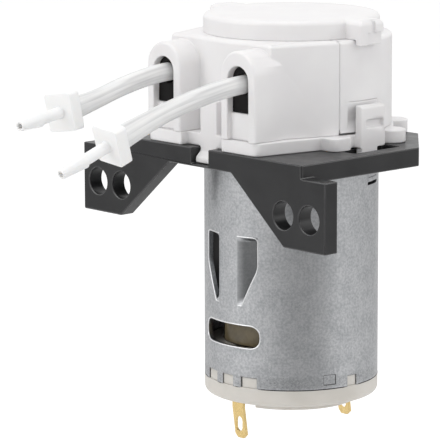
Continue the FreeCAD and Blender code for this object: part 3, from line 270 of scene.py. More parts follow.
@dataclass(frozen=True)
class MouldedPlastic:
    """Injection-moulded plastic: soft clouding of the colour, sink waves and a fine tool grain."""

    name: str
    slot: Slot
    colour: Colour
    shade: Colour
    roughness: float
    roughness_spread: float = 0.06
    cloud_scale: float = 140.0
    grain_scale: float = 9000.0
    grain_depth: float = 1.2e-6
    wave_depth: float = 1.6e-5
    translucency: float = 0.0
    scatter: float = 0.002
    specular: float = 0.5

    def make(self) -> bpy.types.Material:
        """Builds the material."""
        graph = Graph(bpy.data.materials.new(self.name))
        clouds = graph.noise(self.cloud_scale, 3.0)
        specks = graph.noise(self.grain_scale * 0.25, 1.0).between(0.66, 0.74)
        colour = graph.mix(clouds.between(0.3, 0.7), self.colour, self.shade)
        colour = graph.mix(specks * 0.25, colour, self.shade)
        streaks = graph.noise(self.cloud_scale * 3.0, 2.0)
        roughness = (streaks - 0.5) * (2.0 * self.roughness_spread) + self.roughness
        grain = graph.noise(self.grain_scale, 1.0)
        waves = graph.noise(self.cloud_scale * 1.6, 1.0)
        height = grain * (self.grain_depth / self.wave_depth) + waves
        return graph.close(
            Base_Color=colour, Roughness=roughness, IOR=1.49, Specular_IOR_Level=self.specular,
            Subsurface_Weight=self.translucency, Subsurface_Scale=self.scatter,
            Subsurface_Radius=(1.0, 0.9, 0.8), Normal=graph.bump(height, self.wave_depth))


@dataclass(frozen=True)
class Metal:
    """Bare or plated metal with marks along its lay, a mottled skin, and painted shade where it
    sinks.
    """

    name: str
    slot: Slot
    colour: Colour
    shade: Colour
    roughness: float
    lay: Lay = Lay.NONE
    mark_scale: float = 2600.0
    mark_depth: float = 1.5e-6
    mottle_scale: float = 2600.0
    mottle_share: float = 0.5
    cloud_share: float = 0.25
    rim_scuffs: Span = (0.0, 0.0)
    scuff_fades: Span = (0.0004, 0.0006)
    scuff_scale: float = 3400.0
    scuff_share: float = 0.5
    scuff_tone: float = 0.22
    # Painted shade: the surface darkens as its radius falls from the second value to the first, in
    # metres.
    sunk: Span = (0.0, 0.0)
    sunk_shade_share: float = 0.52
    sunk_shade_colour: Colour = (0.03, 0.033, 0.033)

    def make(self) -> bpy.types.Material:
        """Builds the material."""
        graph = Graph(bpy.data.materials.new(self.name))
        marks = graph.noise(self.mark_scale, 3.0, self.lay.value, 0.6)
        mottle = graph.noise(self.mottle_scale, 4.0, roughness=0.65).between(0.35, 0.65)
        clouds = graph.noise(self.mottle_scale * 0.14, 2.0).between(0.3, 0.7)
        tone = mottle * self.mottle_share + marks * (1.0 - self.mottle_share)
        tone = tone * (1.0 - self.cloud_share) + clouds * self.cloud_share
        colour = graph.mix(tone, self.colour, self.shade)
        if any(self.rim_scuffs):
            colour = self._scuffed(graph, colour)
        # Painted shade where the tongue sinks into the can.
        if any(self.sunk):
            depth = 1.0 - graph.radius().between(*self.sunk)
            colour = graph.mix(depth * self.sunk_shade_share, colour, self.sunk_shade_colour)
        roughness = self.roughness + (marks - 0.5) * 0.22 + (mottle - 0.5) * 0.08
        return graph.close(
            Base_Color=colour, Metallic=1.0, Roughness=roughness,
            Normal=graph.bump(marks, self.mark_depth))

    def _scuffed(self, graph: Graph, colour: Socket) -> Socket:
        """Darkens the band that the crimping tool has rubbed, from one height to another."""
        (low, high), (low_fade, high_fade) = self.rim_scuffs, self.scuff_fades
        height = graph.height()
        band = height.between(low, low + low_fade) * (1.0 - height.between(high - high_fade, high))
        rubbed = graph.noise(self.scuff_scale, 3.0, (1.0, 1.0, 3.4), 0.7).between(0.46, 0.62)
        dark = tuple(part * self.scuff_tone for part in self.colour)
        return graph.mix(band * rubbed * self.scuff_share, colour, dark)


@dataclass(frozen=True)
class Silicone:
    """Milky translucent hose: faint clouding along its length, painted streaks of highlight and
    shade along it, and a soft skin.
    """

    name: str
    slot: Slot
    colour: Colour
    shade: Colour
    roughness: float = 0.38
    cloud_scale: float = 420.0
    skin_scale: float = 2400.0
    skin_depth: float = 6.0e-6
    translucency: float = 0.55
    scatter: float = 0.0016

    def make(self) -> bpy.types.Material:
        """Builds the material."""
        graph = Graph(bpy.data.materials.new(self.name))
        clouds = graph.noise(self.cloud_scale, 3.0, (1.0, 0.25, 1.0))
        skin = graph.noise(self.skin_scale, 2.0, (1.0, 0.3, 1.0))
        # Painted highlight and shade: light and dark streaks drawn along the hose.
        streaks = graph.streaks(2.0, 11.0)
        tone = streaks.between(0.36, 0.66) * 0.75 + clouds.between(0.3, 0.7) * 0.25
        colour = graph.mix(tone, self.colour, self.shade)
        roughness = (skin - 0.5) * 0.16 + self.roughness
        return graph.close(
            Base_Color=colour, Roughness=roughness, IOR=1.41,
            Subsurface_Weight=self.translucency, Subsurface_Scale=self.scatter,
            Subsurface_Radius=(1.0, 0.95, 0.9), Normal=graph.bump(skin, self.skin_depth))


FINISHES = {finish.name: finish for finish in (
    MouldedPlastic(
        "white_housing", Slot.WHITE_PLASTIC, (0.84, 0.83, 0.83), (0.81, 0.795, 0.80), 0.36,
        translucency=0.12, scatter=0.0012),
    MouldedPlastic(
        "black_bracket", Slot.BLACK_PLASTIC, (0.013, 0.013, 0.014), (0.021, 0.021, 0.022), 0.34,
        roughness_spread=0.10, grain_depth=2.4e-6, specular=0.36),
    # Lighter black on the bracket's bevelled edges: painted highlight, on a glossier finish of its
    # own.
    MouldedPlastic(
        "bracket_edge", Slot.BLACK_PLASTIC, (0.040, 0.040, 0.042), (0.018, 0.018, 0.019), 0.22,
        roughness_spread=0.08, grain_depth=1.2e-6, specular=0.7),
    MouldedPlastic(
        "black_clip", Slot.CARBON, (0.004, 0.004, 0.004), (0.009, 0.008, 0.008), 0.5,
        grain_depth=2.0e-6, specular=0.12),
    MouldedPlastic(
        "tan_board", Slot.NATURAL_PLASTIC, (0.17, 0.135, 0.075), (0.10, 0.078, 0.04), 0.36,
        cloud_scale=420.0, grain_depth=3.0e-6),
    MouldedPlastic(
        "milky_cap", Slot.NATURAL_PLASTIC, (0.68, 0.65, 0.605), (0.61, 0.58, 0.53), 0.36,
        translucency=0.25, scatter=0.0018),
    MouldedPlastic(
        "milky_fitting", Slot.NATURAL_PLASTIC, (0.93, 0.93, 0.925), (0.90, 0.895, 0.89), 0.30,
        translucency=0.30, scatter=0.0012),
    Silicone("hose", Slot.SILICONE, (0.84, 0.84, 0.835), (0.60, 0.60, 0.605)),
    Metal(
        "can_steel", Slot.STEEL, (0.61, 0.615, 0.625), (0.315, 0.325, 0.34), 0.34, Lay.UPRIGHT,
        mottle_share=0.6, cloud_share=0.2, rim_scuffs=(-0.0352, -0.0331)),
    # Bright steel on the can's bevelled edges and on the lips round its openings: painted
    # highlight.
    Metal(
        "burnished_edge", Slot.STEEL, (0.86, 0.865, 0.87), (0.70, 0.705, 0.71), 0.34),
    # Tongue steel, with painted shade where the tongue sinks into the can.
    Metal(
        "pressed_steel_painted_shade", Slot.STEEL, (0.60, 0.605, 0.615), (0.41, 0.42, 0.435), 0.36, Lay.ROUND,
        sunk=(0.01300, 0.01383)),
    Metal(
        "bright_steel", Slot.PLATED_STEEL, (0.66, 0.66, 0.66), (0.55, 0.55, 0.55), 0.24, Lay.ROUND),
    Metal(
        "brass_strip", Slot.BRASS, (0.86, 0.66, 0.32), (0.72, 0.52, 0.21), 0.28, Lay.UPRIGHT,
        mottle_share=0.35),
    Metal(
        "sintered_bronze", Slot.BRONZE, (0.50, 0.36, 0.20), (0.38, 0.27, 0.15), 0.48),
    Metal(
        "copper_wire", Slot.COPPER, (0.66, 0.30, 0.15), (0.50, 0.20, 0.09), 0.30, Lay.UPRIGHT),
    MouldedPlastic(
        "ferrite_block", Slot.FERRITE, (0.060, 0.060, 0.062), (0.085, 0.083, 0.083), 0.62,
        grain_depth=4.0e-6),
    MouldedPlastic(
        "carbon_block", Slot.CARBON, (0.035, 0.035, 0.036), (0.055, 0.055, 0.055), 0.55,
        grain_depth=3.0e-6),
)}

NODE_FINISHES = {node: finish for finish, nodes in {
    "black_bracket": ("mounting_bracket",),
    "white_housing": ("head_base", "port_housing", "rear_housing", "top_lid"),
    "carbon_block": ("tube_clamp_inlet", "tube_clamp_outlet", "carrier_lower", "carrier_upper",
                     "drive_sleeve", "brush_front", "brush_rear"),
    "milky_cap": ("roller_1", "roller_2", "roller_3", "motor_end_cap"),
    "milky_fitting": ("inlet_fitting", "outlet_fitting"),
    "hose": ("pump_tube",),
    "can_steel": ("motor_can",),
    "bright_steel": ("roller_pins", "motor_screws", "motor_shaft", "rotor_core"),
    "brass_strip": ("terminal_front", "terminal_rear", "brush_arm_front", "brush_arm_rear"),
    "copper_wire": ("windings", "commutator"),
    "ferrite_block": ("magnet_left", "magnet_right"),
    "sintered_bronze": ("front_bearing", "rear_bearing"),
}.items() for node in nodes}


@dataclass(frozen=True)
class PhotoCamera:
    """The camera of the photograph, found by fitting the model's corners to the picture."""

    azimuth: float = 47.564
    elevation: float = 10.413
    roll: float = -0.206
    distance: float = 0.48844
    focal_pixels: float = 3079.93
    aside: float = -0.011308
    above: float = -0.010559
    sensor: float = 36.0
    clip: Span = (0.01, 20.0)

    def add(self) -> None:
        """Adds the camera and makes it the scene's own."""
        azimuth, roll = math.radians(self.azimuth), math.radians(self.roll)
        back = direction(self.azimuth, self.elevation)
        level = Vector((math.cos(azimuth), math.sin(azimuth), 0.0))
        right = level * math.cos(roll) + back.cross(level) * math.sin(roll)
        up = back.cross(right)
        place = MOTOR_AXIS + right * self.aside + up * self.above + back * self.distance
        data = bpy.data.cameras.new("photo_camera")
        data.sensor_width = self.sensor
        data.lens = self.focal_pixels / PHOTO_PIXELS * self.sensor
        data.clip_start, data.clip_end = self.clip
        camera = add_object("photo_camera", data)
        turn = Matrix((right, up, back)).transposed().to_4x4()
        camera.matrix_world = Matrix.Translation(place) @ turn
        bpy.context.scene.camera = camera


@dataclass(frozen=True)
class SoftBox:
    """One square studio lamp that faces the pump."""

    name: str
    azimuth: float
    elevation: float
    distance: float
    size: float
    watts: float

    def add(self, target: Vector) -> None:
        """Adds the lamp, turned towards the target."""
        away = direction(self.azimuth, self.elevation)
        data = bpy.data.lights.new(self.name, "AREA")
        data.shape = "SQUARE"
        data.size = self.size
        data.energy = self.watts
        lamp = add_object(self.name, data)
        lamp.location = target + away * self.distance
        lamp.rotation_mode = "QUATERNION"
        lamp.rotation_quaternion = away.to_track_quat("Z", "Y")


@dataclass(frozen=True)
class Studio:
    """A plain white sweep under even light, as for a catalogue picture."""

    floor_drop: float = 0.14
    floor_size: float = 12.0
    floor_grey: float = 0.88
    floor_glow: float = 0.42
    card_azimuth: float = 41.0
    card_distance: float = 0.30
    card_width: float = 0.92
    card_height: float = 0.26
    card_rise: float = -0.02
    card_greys: tuple[Span, ...] = ((0.0, 1.0), (0.30, 0.77), (0.55, 0.41), (0.90, 0.38))
    sky: float = 0.62
    lamps: tuple[SoftBox, ...] = (
        SoftBox("top_box", 20.0, 74.0, 0.75, 0.70, 2.4),
        SoftBox("left_box", -28.0, 22.0, 0.80, 0.50, 1.5),
        SoftBox("right_box", 118.0, 24.0, 0.85, 0.50, 1.3),
    )

    def build(self) -> None:
        """Adds the lamps, the sky, the floor and the card."""
        for lamp in self.lamps:
            lamp.add(MOTOR_AXIS)
        self._sky()
        self._floor()
        self._dark_card()
        bpy.context.scene.view_settings.view_transform = "Standard"

    def _sky(self) -> None:
        """White to the camera and in reflections, and softer as light."""
        world = bpy.data.worlds.new("studio_sky")
        bpy.context.scene.world = world
        graph = Graph(world)
        seen, through, mirrored = (graph.node("ShaderNodeLightPath", {}, {}, f"Is {way} Ray")
                                   for way in ("Camera", "Transmission", "Glossy"))
        shown = seen.largest(through).largest(mirrored)
        strength = graph.node("ShaderNodeMapRange", {}, {"Value": shown, "To Min": self.sky})
        light = graph.node("ShaderNodeBackground", {}, {
            "Color": (1.0, 1.0, 1.0, 1.0), "Strength": strength})
        graph.end("ShaderNodeOutputWorld", light)

    def _dark_card(self) -> None:
        """A grey card that only reflections see, which gives the bare metal its contrast."""
        away = direction(self.card_azimuth)
        bpy.ops.object.select_all(action="DESELECT")
        bpy.ops.mesh.primitive_plane_add(size=1.0)
        card = bpy.context.object
        card.name = "dark_card"
        card.scale = (self.card_width, self.card_height, 1.0)
        card.rotation_mode = "QUATERNION"
        card.rotation_quaternion = away.to_track_quat("Z", "Y")
        card.location = MOTOR_AXIS + away * self.card_distance + Vector((0.0, 0.0, self.card_rise))
        for way in ("camera", "diffuse", "transmission", "shadow", "volume_scatter"):
            setattr(card, f"visible_{way}", False)
        graph = Graph(bpy.data.materials.new("dark_card"))
        place = graph.node("ShaderNodeTexCoord", {}, {}, "Object")
        aside = graph.node("ShaderNodeSeparateXYZ", {}, {"Vector": place}, "X")
        stops = [(share, (grey, grey, grey)) for share, grey in self.card_greys]
        tone = graph.node("ShaderNodeValToRGB", {"stops": stops}, {"Fac": aside + 0.5}, "Color")
        card.data.materials.append(graph.close(
            Base_Color=(0.0, 0.0, 0.0, 1.0), Roughness=1.0, Specular_IOR_Level=0.0,
            Emission_Color=tone, Emission_Strength=1.0))

    def _floor(self) -> None:
        """A wide pale floor that takes the pump's shadow."""
        bpy.ops.object.select_all(action="DESELECT")
        bpy.ops.mesh.primitive_plane_add(
            size=self.floor_size, location=(0.0, 0.0, -self.floor_drop))
        floor = bpy.context.object
        floor.name = "studio_floor"
        graph = Graph(bpy.data.materials.new("studio_floor"))
        path = graph.node("ShaderNodeLightPath", {}, {}, "Is Camera Ray")
        glow = graph.mix(path, (0.0, 0.0, 0.0), (self.floor_glow,) * 3)
        floor.data.materials.append(graph.close(
            Base_Color=(*(self.floor_grey,) * 3, 1.0), Roughness=0.8, Specular_IOR_Level=0.1,
            Emission_Color=glow, Emission_Strength=1.0))


def activate(piece: bpy.types.Object) -> None:
    """Selects one object alone and makes it the active one."""
    bpy.ops.object.select_all(action="DESELECT")
    piece.select_set(True)
    bpy.context.view_layer.objects.active = piece


@contextmanager
def edit_mode(piece: bpy.types.Object) -> Iterator[None]:
    """Opens one mesh for editing with all of it selected, and leaves edit mode afterwards."""
    activate(piece)
    bpy.ops.object.mode_set(mode="EDIT")
    bpy.ops.mesh.select_all(action="SELECT")
    yield
    bpy.ops.object.mode_set(mode="OBJECT")


def apply_modifier(piece: bpy.types.Object, kind: str,
                   **settings: Union[float, int, str, bool, bpy.types.Object]) -> None:
    """Adds a modifier with those settings and applies it.

    Args:
        piece: The object, which becomes the active one.
        kind: The modifier's type.
        settings: Its options by name.
    """
    activate(piece)
    modifier = piece.modifiers.new(kind.lower(), kind)
    for option, value in settings.items():
        setattr(modifier, option, value)
    bpy.ops.object.modifier_apply(modifier=modifier.name)


def subtract(piece: bpy.types.Object, cutter: bpy.types.Object) -> None:
    """Cuts the cutter's solid out of a piece and removes the cutter."""
    apply_modifier(piece, "BOOLEAN", operation="DIFFERENCE", object=cutter, solver="EXACT")
    bpy.data.objects.remove(cutter, do_unlink=True)


def dress(piece: bpy.types.Object, material: bpy.types.Material) -> None:
    """Gives a new piece of the pump's fixed body its material."""
    piece.data.materials.append(material)
    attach(piece, "pump")


def grid_sheet(name: str, columns: int, rows: int, place: Callable[[float, float], Vector],
               outwards: Vector, thickness: float) -> bpy.types.Object:
    """Shapes a grid into a sheet that faces outwards, and gives it its thickness inwards.

    Args:
        name: The new piece's name.
        columns: Its faces along the first share.
        rows: Its faces along the second share.
        place: Gives the point at two shares from 0 to 1, in millimetres from the motor axis.
        outwards: The direction that its outer face looks in.
        thickness: Its thickness in millimetres.

    Returns:
        The new piece.
    """
    bpy.ops.object.select_all(action="DESELECT")
    bpy.ops.mesh.primitive_grid_add(x_subdivisions=columns, y_subdivisions=rows, size=2.0)
    sheet = bpy.context.object
    sheet.name = name
    for vertex in sheet.data.vertices:
        vertex.co = millimetres(*place((vertex.co.x + 1.0) / 2, (vertex.co.y + 1.0) / 2))
    with edit_mode(sheet):
        bpy.ops.mesh.normals_make_consistent(inside=False)
    total = sum((face.normal * face.area for face in sheet.data.polygons), Vector())
    if total.dot(outwards) < 0:
        with edit_mode(sheet):
            bpy.ops.mesh.flip_normals()
    apply_modifier(sheet, "SOLIDIFY", thickness=thickness * MM, offset=-1.0)
    return sheet


def bead(name: str, path: list[Vector], thickness: float, resolution: int,
         closed: bool = False, tip: float = 1.0) -> bpy.types.Object:
    """Runs a thin round bead along a path.

    Args:
        name: The new piece's name.
        path: The points on the way, in millimetres from the motor axis.
        thickness: The bead's radius in millimetres.
        resolution: How finely its section is rounded.
        closed: Whether the path runs back to its start.
        tip: The share of the thickness at an open bead's ends.

    Returns:
        The new piece.
    """
    curve = bpy.data.curves.new(name, "CURVE")
    curve.dimensions = "3D"
    curve.bevel_depth = thickness * MM
    curve.bevel_resolution = resolution
    curve.use_fill_caps = not closed
    spline = curve.splines.new("POLY")
    spline.points.add(len(path) - 1)
    for point, place in zip(spline.points, path):
        point.co = (*millimetres(*place), 1.0)
    spline.points[0].radius = spline.points[-1].radius = tip
    spline.use_cyclic_u = closed
    activate(add_object(name, curve))
    bpy.ops.object.convert(target="MESH")
    bpy.ops.object.shade_smooth()
    return bpy.context.object


@dataclass(frozen=True)
class SoftEdges:
    """How far moulding, tumbling or blanking has rounded a piece's sharp edges, in millimetres."""

    width: float
    segments: int = 3
    sharp: float = 32.0
    crease: float = 32.0
    flat: float = 0.6
    # When set, the bevel faces take the piece's second material, a painted highlight along the
    # edges.
    painted_highlight_edges: bool = False
    clamp: bool = False

    def round_off(self, piece: bpy.types.Object) -> None:
        """Joins a piece's loose triangles into clean faces and rounds its sharp edges.

        Args:
            piece: The mesh object to work on.
        """
        with edit_mode(piece):
            bpy.ops.mesh.remove_doubles(threshold=MERGE_DISTANCE)
            bpy.ops.mesh.dissolve_limited(angle_limit=math.radians(self.flat))
        apply_modifier(piece, "BEVEL", width=self.width * MM, segments=self.segments,
                       limit_method="ANGLE", angle_limit=math.radians(self.sharp),
                       use_clamp_overlap=self.clamp, miter_outer="MITER_ARC",
                       material=1 if self.painted_highlight_edges else -1)
        bpy.ops.object.shade_smooth_by_angle(angle=math.radians(self.crease))
        apply_modifier(piece, "WEIGHTED_NORMAL", keep_sharp=True)


def rounded_outline(corners: tuple[Corner, ...]) -> list[tuple[float, float]]:
    """Rounds a polygon's corners.

    Args:
        corners: Each corner as its two coordinates and its radius, in order.

    Returns:
        The points of the rounded outline.
    """
    points = []
    for index, (x, z, radius) in enumerate(corners):
        here = Vector((x, z))
        before, after = (Vector(corners[i % len(corners)][:2]) for i in (index - 1, index + 1))
        back, on = (before - here).normalized(), (after - here).normalized()
        half = back.angle(on) / 2
        reach = radius / math.tan(half)
        start, stop = here + back * reach, here + on * reach
        for step in range(CORNER_STEPS + 1):
            share = step / CORNER_STEPS
            near, far = start.lerp(here, share), here.lerp(stop, share)
            points.append(tuple(near.lerp(far, share)))
    return points


def box_corners(width: float, low: float, high: float, radius: float = 0.1) -> tuple[Corner, ...]:
    """The corners of a rectangle about the middle, from one height to another."""
    half = width / 2
    return ((-half, low, radius), (half, low, radius), (half, high, radius), (-half, high, radius))


@dataclass(frozen=True)
class Opening:
    """A cut through a wall: an outline in the plane of X and Z, run from one Y to another."""

    corners: tuple[Corner, ...]
    near: float
    far: float
    turn: float = 0.0

    def cut(self, piece: bpy.types.Object) -> None:
        """Cuts the opening into a piece.

        Args:
            piece: The mesh object to cut.
        """
        outline = rounded_outline(self.corners)
        count = len(outline)
        turn = Matrix.Rotation(math.radians(self.turn), 3, "Z")
        points = [turn @ Vector((x, y, z)) for y in (self.near, self.far) for x, z in outline]
        sides = [(i, (i + 1) % count, count + (i + 1) % count, count + i) for i in range(count)]
        mesh = bpy.data.meshes.new("cutter")
        mesh.from_pydata([millimetres(*point) for point in points], [],
                         [tuple(range(count)), tuple(range(count, 2 * count))] + sides)
        cutter = add_object("cutter", mesh)
        with edit_mode(cutter):
            bpy.ops.mesh.normals_make_consistent(inside=False)
        subtract(piece, cutter)


@dataclass(frozen=True)
class RoundedNode:
    """A CAD node shown with rounded edges: its own shape, merged, with its edges softened."""

    node: str
    body: str
    finish: str
    edges: SoftEdges
    # The second finish goes on the bevel faces as a painted highlight.
    highlight_edge_finish: str = ""
    openings: tuple[Opening, ...] = ()

    def build(self, materials: Materials) -> bpy.types.Object:
        """Makes the rounded copy that stands for the node.

        Args:
            materials: The materials by finish name.

        Returns:
            The new piece.
        """
        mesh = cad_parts[self.node].data.copy()
        piece = add_object(f"{self.node}_shell", mesh)
        mesh.materials.clear()
        for name in filter(None, (self.finish, self.highlight_edge_finish)):
            mesh.materials.append(materials[name])
        if self.openings:
            with edit_mode(piece):
                bpy.ops.mesh.remove_doubles(threshold=MERGE_DISTANCE)
        for opening in self.openings:
            opening.cut(piece)
        self.edges.round_off(piece)
        self._keep_inside(mesh)
        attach(piece, self.body)
        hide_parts(self.node)
        log.info("%s: %d faces", piece.name, len(mesh.polygons))
        return piece

    def _keep_inside(self, mesh: bpy.types.Mesh) -> None:
        """Holds the rounded mesh within the node's own box."""
        low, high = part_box(self.node)
        for vertex in mesh.vertices:
            vertex.co = [min(max(x, a), b) for x, a, b in zip(vertex.co, low, high)]


@dataclass(frozen=True)
class TongueShape:
    """The lanced tongues of the can: straight beside the middle, slanted outside."""

    top: float = -11.3
    waist: float = -16.3
    bottom: float = -22.3
    inner: float = 2.0
    outer: float = 5.66
    tip: float = 2.9
    rounds: tuple[float, ...] = (0.25, 0.8, 4.0, 0.35, 0.35)
    margin: float = 0.05
    cut: Span = (-15.0, -8.6)
    slope: float = 1.1
    deepest: float = 2.6

    def edge(self, height: float) -> float:
        """The slanted edge's distance from the middle at a height."""
        share = min(max((self.waist - height) / (self.waist - self.bottom), 0.0), 1.0)
        return self.outer + (self.tip - self.outer) * share

    def corners(self, side: int, margin: float = 0.0) -> tuple[Corner, ...]:
        """The corners of one tongue's opening, from its root round its free edge."""
        places = ((self.inner - margin, self.top), (self.outer + margin, self.top),
                  (self.outer + margin, self.waist), (self.tip + margin, self.bottom),
                  (self.inner - margin, self.bottom))
        return tuple((side * x, z, radius) for (x, z), radius in zip(places, self.rounds))

    def openings(self) -> tuple[Opening, ...]:
        """The four openings: two in front, two behind."""
        return tuple(Opening(self.corners(side, self.margin), *self.cut, turn)
                     for _, side in SIDES for _, turn in PLACES)


@dataclass(frozen=True)
class Tongue:
    """One lanced tongue: a dished sheet, soft where it leaves the can and sunk at its free edge."""

    name: str
    side: int
    turn: float
    shape: TongueShape = TongueShape()
    radius: float = 13.85
    thickness: float = 0.55
    columns: int = 20
    rows: int = 48
    overlap: float = 0.14
    proud: float = 0.012
    gap: float = 0.06
    flat_end: float = 0.1
    end_runs: Span = (0.9, 1.5)
    root_run: float = 0.10
    crease: float = 40.0

    def build(self, materials: Materials) -> bpy.types.Object:
        """Shapes a grid into the tongue and gives it its thickness.

        Args:
            materials: The materials by finish name.

        Returns:
            The new piece.
        """
        turn = Matrix.Rotation(math.radians(self.turn), 3, "Z")
        tongue = grid_sheet(self.name, self.columns, self.rows,
                            lambda along, down: turn @ self._point(along, down),
                            turn @ Vector((0.0, -1.0, 0.0)), self.thickness)
        bpy.ops.object.shade_smooth_by_angle(angle=math.radians(self.crease))
        dress(tongue, materials["pressed_steel_painted_shade"])
        return tongue

    def _point(self, along: float, down: float) -> Vector:
        """The tongue's outer face: along runs from the root to the free edge, down from the top."""
        shape = self.shape
        high, low = shape.top + self.overlap, shape.bottom - self.overlap
        height = high + (low - high) * down
        root = shape.inner - self.overlap - shape.margin
        free = shape.edge(height) - self.gap
        x = root + (free - root) * along
        into = max(x - shape.inner, 0.0)
        ends = (ease((high - height - self.flat_end) / self.end_runs[0])
                * ease((height - low - self.flat_end) / self.end_runs[1]))
        into = into ** 2 / (into + self.root_run)
        depth = shape.deepest * math.tanh(shape.slope * into / shape.deepest) * ends
        radius = self.radius + self.proud - depth
        reach = math.sqrt(radius ** 2 - x ** 2)
        return Vector((self.side * x, -reach, height))


@dataclass(frozen=True)
class Lip:
    """The thin lip that a punch leaves round an opening of the can."""

    name: str
    corners: tuple[Corner, ...]
    turn: float
    closed: bool = True
    thickness: float = 0.12
    # The default finish is bright: a painted highlight along the lip.
    finish: str = "burnished_edge"
    radius: float = 13.80
    step: float = 0.4

    def build(self, materials: Materials) -> bpy.types.Object:
        """Runs a bead along the opening's outline on the can.

        Args:
            materials: The materials by finish name.

        Returns:
            The new piece.
        """
        outline = rounded_outline(self.corners)
        if self.closed:
            outline.append(outline[0])
        else:
            outline = outline[CORNER_STEPS // 2:len(outline) - CORNER_STEPS // 2]
        turn = Matrix.Rotation(math.radians(self.turn), 3, "Z")
        path = []
        for (x0, z0), (x1, z1) in zip(outline, outline[1:]):
            count = max(1, round(abs(x1 - x0) / self.step))
            for share in (index / count for index in range(count)):
                x, z = x0 + (x1 - x0) * share, z0 + (z1 - z0) * share
                path.append(turn @ Vector((x, -math.sqrt(self.radius ** 2 - x ** 2), z)))
        lip = bead(self.name, path, self.thickness, 3, self.closed)
        dress(lip, materials[self.finish])
        return lip


@dataclass(frozen=True)
class RimShadow:
    """The painted shadow: a dark bead where the crimped rim sits on the end cap."""

    name: str
    start: float
    stop: float
    radius: float = 13.78
    height: float = -35.36
    thickness: float = 0.10
    tip: float = 0.4
    step: float = 3.0

    def build(self, materials: Materials) -> bpy.types.Object:
        """Bends a thin bead along the rim.

        Args:
            materials: The materials by finish name.

        Returns:
            The new piece.
        """
        count = max(2, round((self.stop - self.start) / self.step))
        turns = [math.radians(self.start + (self.stop - self.start) * index / count)
                 for index in range(count + 1)]
        path = [Vector((self.radius * math.sin(turn), -self.radius * math.cos(turn), self.height))
                for turn in turns]
        shadow = bead(self.name, path, self.thickness, 2, tip=self.tip)
        # The black finish here is painted shadow.
        dress(shadow, materials["black_clip"])
        return shadow


def ease(share: float) -> float:
    """Runs smoothly from 0 to 1."""
    share = min(max(share, 0.0), 1.0)
    return share * share * (3.0 - 2.0 * share)


@dataclass(frozen=True)
class WallPatch:
    """A patch of a round wall, dished a little, with a thickness inwards."""

    name: str
    side: int
    finish: str
    radius: float
    span: Span
    rise: Span
    dish: float
    dish_place: Span
    thickness: float = 0.5
    across: bool = True
    columns: int = 36
    rows: int = 28

    def build(self, materials: Materials) -> bpy.types.Object:
        """Shapes a grid into the patch.

        Args:
            materials: The materials by finish name.

        Returns:
            The new piece.
        """
        outwards = Vector((self.side, 0, 0)) if self.across else Vector((0, -self.side, 0))
        patch = grid_sheet(self.name, self.columns, self.rows, self._point, outwards,
                           self.thickness)
        SoftEdges(0.06, 2).round_off(patch)
        dress(patch, materials[self.finish])
        return patch

    def _point(self, aside: float, up: float) -> Vector:
        """A point of the outer face, by its shares of the span and of the rise."""
        wide = self.span[0] + (self.span[1] - self.span[0]) * aside
        height = self.rise[0] + (self.rise[1] - self.rise[0]) * up
        dip = 1.0
        for share, middle in ((aside, self.dish_place[0]), (up, self.dish_place[1])):
            dip *= ease(share / middle if share < middle else (1.0 - share) / (1.0 - middle))
        radius = self.radius - self.dish * dip
        reach = math.sqrt(radius ** 2 - wide ** 2)
        if self.across:
            return Vector((self.side * reach, wide, height))
        return Vector((wide, -self.side * reach, height))


@dataclass(frozen=True)
class Hose:
    """One free hose from the pump tube's end to its fitting, swollen where it grips the fitting."""

    name: str
    node: str
    fitting: str
    length: float
    route: tuple[Point, ...]
    diameter: float = 2.9
    swelling: float = 1.32
    roundness: int = 8
    spans: int = 10

    def build(self, materials: Materials,
              fittings: dict[str, bpy.types.Object]) -> bpy.types.Object:
        """Makes the hose as a curve with its real section.

        Args:
            materials: The materials by finish name.
            fittings: The rounded fittings by node name; not used.

        Returns:
            The curve object.
        """
        curve = bpy.data.curves.new(self.name, "CURVE")
        curve.dimensions = "3D"
        curve.bevel_depth = self.diameter / 2 * MM
        curve.bevel_resolution = self.roundness
        curve.use_fill_caps = True
        spline = curve.splines.new("NURBS")
        spline.points.add(len(self.route) - 1)
        for point, place in zip(spline.points, self.route):
            point.co = (*millimetres(*place), 1.0)
        spline.points[-1].radius = self.swelling
        spline.order_u = 3
        spline.use_endpoint_u = True
        spline.resolution_u = self.spans
        hose = add_object(self.name, curve)
        curve.materials.append(materials["hose"])
        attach(hose, "pump")
        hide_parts(self.node)
        log.info("%s: %.1f mm", self.name, self.length)
        return hose


